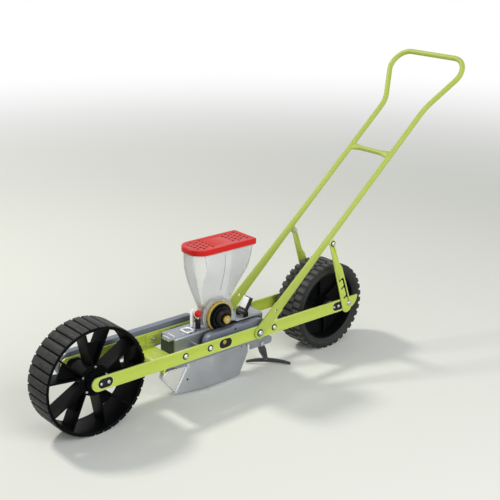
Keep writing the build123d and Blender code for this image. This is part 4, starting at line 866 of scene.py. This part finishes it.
class PLANTER_OT_wheels(Operator):
    """Finishes the front wheel and the rear tyre and rim, with their moulded rings"""
    bl_idname = "planter.wheels"
    bl_label = "Wheels"

    def execute(self, context):
        finish, detail = choices(context)
        # Grey tops of the cleats and lugs: partly scuffing, partly a painted highlight
        lugs = (NODES["front_wheel"], CLEAT_TOP_DEPTH * MM, finish.scuff_and_sheen)
        treaded = moulded_plastic("moulded_polypropylene_tread", finish.wheel, rough=0.36, grain=1.4,
                                  specular=0.03, lugs=lugs)
        dress(["front_wheel"], treaded, detail.mould_round)
        plastic = moulded_plastic("moulded_polypropylene_black", finish.wheel, rough=0.36, grain=1.4,
                                  specular=0.07)
        dress(["rear_rim"], plastic, detail.mould_round)
        lugs = (NODES["rear_tyre"], LUG_TOP_DEPTH * MM, finish.scuff_and_sheen)
        rubber = dusty_rubber("vulcanised_rubber", finish.rubber, finish.dust, lugs)
        dress(["rear_tyre"], rubber, detail.mould_round)
        rings = wheel_rings(0, FRONT_RINGS)
        add_beads("front_rim_beads", rings, FRONT_BEAD, plastic, "front_wheel", closed=True)
        rings = wheel_rings(REAR_AXLE, TYRE_RINGS)
        add_beads("tyre_wall_rings", rings, TYRE_BEAD, rubber, "rear_wheel", closed=True)
        return {"FINISHED"}


class PLANTER_OT_drive(Operator):
    """Finishes the chain cases, the chains, the gears and the seed roller"""
    bl_idname = "planter.drive"
    bl_label = "Drive and metering"

    def execute(self, context):
        finish, detail = choices(context)
        # Pale slate edges: partly thin paint, partly a painted highlight
        slate = powder_coat("powder_coated_steel_slate", finish.slate, finish.slate_shade, rough=0.34,
                            pale=finish.slate_edge, edge_wear_and_light=0.7)
        dress(["front_chain_case", "rear_chain_case", "front_chain_backplate"], slate, detail.edge_round)
        black = moulded_plastic("moulded_nylon_black", finish.black, rough=0.38, grain=1.2, specular=0.25)
        dress(["axle_blocks", "jackshaft_blocks", "rear_chain_backplate", "plunger_sleeve", "latch_bracket",
               "metering_bush"], black, detail.edge_round)
        dress(["roller_gear", "metering_gear"], black)
        oiled = plated_steel("oiled_chain_steel", finish.chain, rough=0.34)
        dress(["wheel_sprocket", "jackshaft_sprockets", "metering_sprocket", "front_chain", "rear_chain"],
              oiled)
        yellow = plated_steel("yellow_zinc_steel", finish.passivate, rough=0.3)
        dress(["jackshaft"], yellow, detail.edge_round)
        brass = plated_steel("turned_brass", finish.brass, rough=0.24)
        dress(["roller_nut"], brass, detail.edge_round)
        tan = moulded_plastic("moulded_nylon_tan", finish.tan, rough=0.4, grain=1.2)
        dress(["seed_roller"], tan)
        for name, y, profile in (("roller_end_plate", END_PLATE_Y, END_PLATE),
                                 ("roller_hub_ring", HUB_RING_Y, HUB_RING)):
            shape = bmesh.new()
            turned(shape, (ROLLER[0], y, ROLLER[1]), (0, 1, 0), profile, ROLLER_STEPS)
            add_piece(name, shape, black, "seed_roller")
        # Nylon fibre: its packed ends give the eye a dull grain, drawn coarser than the real one
        fibre = moulded_plastic("brush_fibre", finish.fibre, rough=0.8, grain=0.8)
        dress(["seed_brush"], fibre)
        screws = plated_steel("black_oxide_steel", finish.oxide, rough=0.36)
        shape = bmesh.new()
        for side, face, head, places in CASE_SCREWS:
            for x, z in places:
                screw_head(shape, (x, side * face, z), (0, side, 0), *head)
        add_piece("case_screws", shape, screws, "frame")
        return {"FINISHED"}


class PLANTER_OT_opener(Operator):
    """Finishes the housing, the shoe, its strap and the coverer, with their screws and weld"""
    bl_idname = "planter.opener"
    bl_label = "Opener and coverer"

    def execute(self, context):
        finish, detail = choices(context)
        steel = sheet_steel("satin_sheet_steel", finish.steel, finish.rubbed_and_lit, rough=0.38, metallic=0.8)
        dress(["opener_shoe", "shoe_guard_strap"], steel, detail.edge_round)
        dull = sheet_steel("dull_sheet_steel", finish.dull, finish.rubbed_and_lit, rough=0.32, metallic=0.6)
        dress(["opener_housing", "coverer_arm"], dull, detail.edge_round)
        # Lighter copy of the sheet steel: polished steel that also paints a highlight where it is used
        bright = sheet_steel("polished_steel_painted_highlight", finish.bright, finish.rubbed_and_lit, rough=0.26, metallic=0.45)
        # Dark steel used only for the front plate: painted shade
        shaded = sheet_steel("front_painted_shade_steel", finish.front_shade, finish.rubbed_and_lit, rough=0.5,
                             metallic=0.2)
        # Pale edges of the dark coat: partly thin paint, partly a painted highlight
        dark = powder_coat("powder_coated_steel_dark", finish.dark, finish.dark_shade, rough=0.42,
                           pale=finish.dark_edge, edge_wear_and_light=0.8)
        dress(["coverer_stem", "coverer_bow"], dark, detail.edge_round)
        screws = plated_steel("blued_steel", finish.blued, rough=0.34)
        self.add_shoe_pieces(screws, bright)
        self.add_housing_pieces(screws, bright, dull, shaded)
        line = [COVERER_FOOT.lerp(COVERER_EYE, share) for share in COVERER_WELD]
        welds = [[point + Vector((0, side * COVERER_WELD_SIDE, 0)) for point in line] for side in SIDES]
        radii = weld_ripple(*COVERER_WELD_RADII, len(line))
        add_beads("coverer_weld", welds, radii, dark, "coverer")
        return {"FINISHED"}

    def add_shoe_pieces(self, screws, bright):
        """The shoe's screws, its nose strip and the strap's rolled edges, the last two in a lighter steel
        that paints their highlight.
        """
        shape = bmesh.new()
        for x in HEEL_SCREWS:
            screw_head(shape, (x, HOUSING_SIDE, HEEL_SCREW_Z), (0, 1, 0), *HEEL_HEAD)
        screw_head(shape, NOSE_SCREW, NOSE_SCREW_AXIS, *NOSE_HEAD)
        add_piece("shoe_screws", shape, screws, "frame")
        nose = [NOSE_TOP.lerp(NOSE_TIP, step / NOSE_STEPS) for step in range(NOSE_STEPS + 1)]
        radii = tapered(NOSE_BEAD, NOSE_END, len(nose))
        add_beads("shoe_nose_strip", [nose], radii, bright, "frame", sides=12)
        # Rolled edges of the strap in the lighter steel: real edges with a painted highlight
        edges = [[(x, side * STRAP_EDGE, z) for x, z in STRAP_LOOP] for side in SIDES]
        add_beads("strap_rolled_edges", edges, STRAP_ROLL, bright, "frame", sides=10)

    def add_housing_pieces(self, screws, bright, dull, shaded):
        """Bright slabs that paint the highlight on the ledge's tabs, the deck's loop, a dark plate that
        paints the shade on the housing's front, the flutes and the deck's screws.
        """
        # Bright slabs on the tabs' tops and fronts: a painted highlight
        shape = bmesh.new()
        for x in LEDGE_TABS:
            for low, high in TAB_HIGHLIGHTS:
                slab(shape, (x + low[0], *low[1:]), (x + high[0], *high[1:]))
        add_piece("ledge_tab_highlights", shape, bright, "frame")
        loop = rounded_loop(DECK_LOOP, *DECK_LOOP_SIZE)
        add_beads("deck_loop_rod", [loop], DECK_LOOP_ROD, bright, "frame", closed=True)
        # Dark plate on the housing's front face: painted shade
        shape = bmesh.new()
        slab(shape, *FRONT_SHADE_PLATE)
        add_piece("housing_front_shade_plate", shape, shaded, "frame")
        flutes = [[(x, HOUSING_SIDE, z) for z in FLUTE_LEVELS] for x in FLUTES]
        radii = tapered(FLUTE_BEAD, FLUTE_END, len(FLUTE_LEVELS))
        add_beads("housing_flutes", flutes, radii, dull, "frame", sides=10)
        shape = bmesh.new()
        for x, y in DECK_SCREWS:
            screw_head(shape, (x, y, DECK), (0, 0, 1), *DECK_HEAD)
        add_piece("deck_screws", shape, screws, "frame")


class PLANTER_OT_hopper(Operator):
    """Finishes the hopper, the seed box, the lid, the knob and the latch, with their seams and the painted
    shade in the lid's holes
    """
    bl_idname = "planter.hopper"
    bl_label = "Hopper and fittings"

    def execute(self, context):
        finish, detail = choices(context)
        clear = clear_plastic("moulded_styrene_clear", finish.clear, finish.clear_edge, haze=0.05)
        dress(["hopper", "seed_box"], clear)
        port = clear_plastic("moulded_styrene_ring", finish.clear_ring, finish.clear_edge, haze=0.45)
        dress(["roller_arch"], port)
        # The lid's and knob's pale edges are a painted highlight
        red = moulded_plastic("moulded_abs_red", finish.red, rough=0.3, grain=1.6, specular=0.2,
                              pale=finish.red_edge)
        dress(["hopper_lid"], red, detail.mould_round)
        dress(["plunger_knob"], red)
        white = moulded_plastic("moulded_abs_white", finish.white, rough=0.36, grain=1.4)
        dress(["plunger_strip", "latch_face"], white, detail.edge_round)
        black = moulded_plastic("moulded_abs_black", finish.black, rough=0.38, grain=1.4)
        dress(["latch_lever"], black, detail.edge_round)
        # Dark-red cups in the lid's holes: painted shade
        hole = moulded_plastic("moulded_abs_shade", finish.red_hole, rough=0.6, grain=1.6, specular=0.2)
        shape = bmesh.new()
        for end in (LID_FRONT - HOLE_INSET, LID_REAR + HOLE_INSET):
            for row in range(HOLE_ROWS):
                x = end + (row - (HOLE_ROWS - 1) / 2) * HOLE_SPACING
                count = HOLE_COLUMNS - row % 2
                for column in range(count):
                    place = (x, (column - (count - 1) / 2) * HOLE_SPACING, LID_TOP - HOLE_DEPTH)
                    turned(shape, place, (0, 0, 1), HOLE_SHADE, HOLE_STEPS)
        add_piece("lid_hole_shades", shape, hole, "lid")
        pale = clear_plastic("moulded_styrene_seam", finish.white, edge=None, haze=0.5)
        seams = [[(SEAM_X, side * hopper_half(z), z) for z in WALL_LEVELS] for side in SIDES]
        add_beads("hopper_seams", seams, detail.seam / MM, pale, "frame")
        frosted = moulded_plastic("moulded_styrene_frosted", finish.white, rough=0.3, grain=1.4)
        centre = ((BOX_FRONT + BOX_REAR) / 2, 0, FOOT_LEVEL)
        loop = rounded_loop(centre, BOX_FRONT - BOX_REAR, 2 * BOX_HALF, BOX_CORNER)
        # The foot is open on the left side, where the roller goes in
        foot = loop[CORNER_STEPS:] + loop[:CORNER_STEPS]
        add_beads("seed_box_foot", [foot], FOOT_BEAD, frosted, "frame")
        arcs = [arc_points((ROLLER[0], y, ROLLER[1]), radius, RING_POINTS, RING_SPACING, RING_START)
                for radius, y in RING_EDGES]
        add_beads("roller_ring_edges", arcs, RING_BEAD, frosted, "frame", sides=6)
        return {"FINISHED"}


def background_share(tree):
    """1 for rays that show the background: from the camera, in a reflection or through something clear."""
    path = shader_node(tree, "LightPath")
    seen = shader_node(tree, "Math", {
        "operation": "MAXIMUM", 0: path.outputs["Is Camera Ray"], 1: path.outputs["Is Glossy Ray"]})
    share = shader_node(tree, "Math", {
        "operation": "MAXIMUM", 0: seen.outputs["Value"], 1: path.outputs["Is Transmission Ray"]})
    return share.outputs["Value"]


def floor_board(base):
    """Matt painted board: the eye sees a plain pale floor that fades to white far from the object."""
    material, tree, place, shader = start_material("matt_floor_board")
    brushed = shader_node(tree, "TexNoise", {"Scale": per_mm(8), "Detail": 3.0, "Vector": place})
    bump = shader_node(tree, "Bump", {
        "Strength": 0.05, "Distance": 0.2 * MM, "Height": brushed.outputs["Fac"]})
    set_inputs(tree, shader, {
        "Base Color": base,
        "Roughness": 0.9,
        "Normal": bump.outputs["Normal"],
        "Specular IOR Level": 0.1})
    far = shader_node(tree, "VectorMath", {"operation": "LENGTH", 0: place})
    fade = shader_node(tree, "MapRange", {
        "interpolation_type": "SMOOTHSTEP",
        "Value": far.outputs["Value"], "From Min": FADE_START, "From Max": FADE_END})
    share = shader_node(tree, "Math", {
        "operation": "MULTIPLY", 0: fade.outputs["Result"], 1: background_share(tree)})
    white = shader_node(tree, "Emission", {"Color": linear(WHITE), "Strength": 1.0})
    mixed = shader_node(tree, "MixShader", {
        0: share.outputs["Value"], 1: shader.outputs["BSDF"], 2: white.outputs["Emission"]})
    output = next(node for node in tree.nodes if node.type == "OUTPUT_MATERIAL")
    set_inputs(tree, output, {"Surface": mixed.outputs["Shader"]})
    return material


class PLANTER_OT_stage(Operator):
    """Sets the floor, the soft light, the lamps and the camera"""
    bl_idname = "planter.stage"
    bl_label = "Stage"

    def execute(self, context):
        scene = context.scene
        stage = scene.planter_stage
        scene.view_settings.view_transform = "Standard"
        self.add_floor(scene, stage)
        self.add_world(scene, stage)
        self.add_lamps(scene)
        self.add_camera(scene, stage)
        return {"FINISHED"}

    def stand(self, scene, thing, place, direction):
        """Stands a lamp or a camera at a place and points it in a direction."""
        thing.location = place
        thing.rotation_mode = "QUATERNION"
        thing.rotation_quaternion = direction.to_track_quat("-Z", "Y")
        scene.collection.objects.link(thing)

    def add_floor(self, scene, stage):
        """A wide board below the wheels."""
        mesh = bpy.data.meshes.new("floor")
        corners = [(x * FLOOR_REACH, y * FLOOR_REACH, 0) for x, y in ((-1, -1), (1, -1), (1, 1), (-1, 1))]
        mesh.from_pydata(corners, [], [(0, 1, 2, 3)])
        mesh.materials.append(floor_board(stage.floor))
        floor = bpy.data.objects.new("floor", mesh)
        scene.collection.objects.link(floor)

    def add_world(self, scene, stage):
        """Soft light from all round, before a white background."""
        world = bpy.data.worlds.new("studio")
        scene.world = world
        world.use_nodes = True
        tree = world.node_tree
        tree.nodes.clear()
        shades = [shader_node(tree, "Background", {"Color": tint, "Strength": strength}).outputs["Background"]
                  for tint, strength in ((stage.sky, stage.soft), (linear(WHITE), 1.0))]
        mixed = shader_node(tree, "MixShader", {0: background_share(tree), 1: shades[0], 2: shades[1]})
        shader_node(tree, "OutputWorld", {"Surface": mixed.outputs["Shader"]})

    def add_lamps(self, scene):
        """Round lamps that face the machine."""
        for name, place, size, power, tint in LAMPS:
            data = bpy.data.lights.new(name, "AREA")
            data.shape = "DISK"
            data.size = size
            data.energy = power
            data.color = linear(tint)[:3]
            self.stand(scene, bpy.data.objects.new(name, data), Vector(place), LAMP_AIM - Vector(place))

    def add_camera(self, scene, stage):
        """The view of the photograph."""
        data = bpy.data.cameras.new("camera")
        data.lens = stage.lens
        data.sensor_width = 36.0
        data.clip_end = 100.0
        camera = bpy.data.objects.new("camera", data)
        back = Vector((math.sin(stage.azimuth) * math.cos(stage.elevation),
                       -math.cos(stage.azimuth) * math.cos(stage.elevation), math.sin(stage.elevation)))
        self.stand(scene, camera, stage.place, -back)
        scene.camera = camera


STEPS = (PLANTER_OT_frame, PLANTER_OT_fasteners, PLANTER_OT_wheels, PLANTER_OT_drive, PLANTER_OT_opener,
         PLANTER_OT_hopper, PLANTER_OT_stage)


class PLANTER_PT_sidebar(Panel):
    """Lists the steps and the values that can be changed"""
    bl_label = "Seed planter"
    bl_idname = "PLANTER_PT_sidebar"
    bl_space_type = "VIEW_3D"
    bl_region_type = "UI"
    bl_category = "Planter"

    def draw(self, context):
        for step in STEPS:
            self.layout.operator(step.bl_idname)
        for group in (*choices(context), context.scene.planter_stage):
            column = self.layout.column()
            for key in group.__annotations__:
                column.prop(group, key)


CLASSES = (PlanterFinish, PlanterDetail, PlanterStage, *STEPS, PLANTER_PT_sidebar)


def register():
    for item in CLASSES:
        bpy.utils.register_class(item)
    bpy.types.Scene.planter_finish = PointerProperty(type=PlanterFinish)
    bpy.types.Scene.planter_detail = PointerProperty(type=PlanterDetail)
    bpy.types.Scene.planter_stage = PointerProperty(type=PlanterStage)


def unregister():
    del bpy.types.Scene.planter_stage
    del bpy.types.Scene.planter_detail
    del bpy.types.Scene.planter_finish
    for item in reversed(CLASSES):
        bpy.utils.unregister_class(item)


def main():
    register()
    for step in STEPS:
        group, action = step.bl_idname.split(".")
        getattr(getattr(bpy.ops, group), action)()


if __name__ == "__main__":
    main()
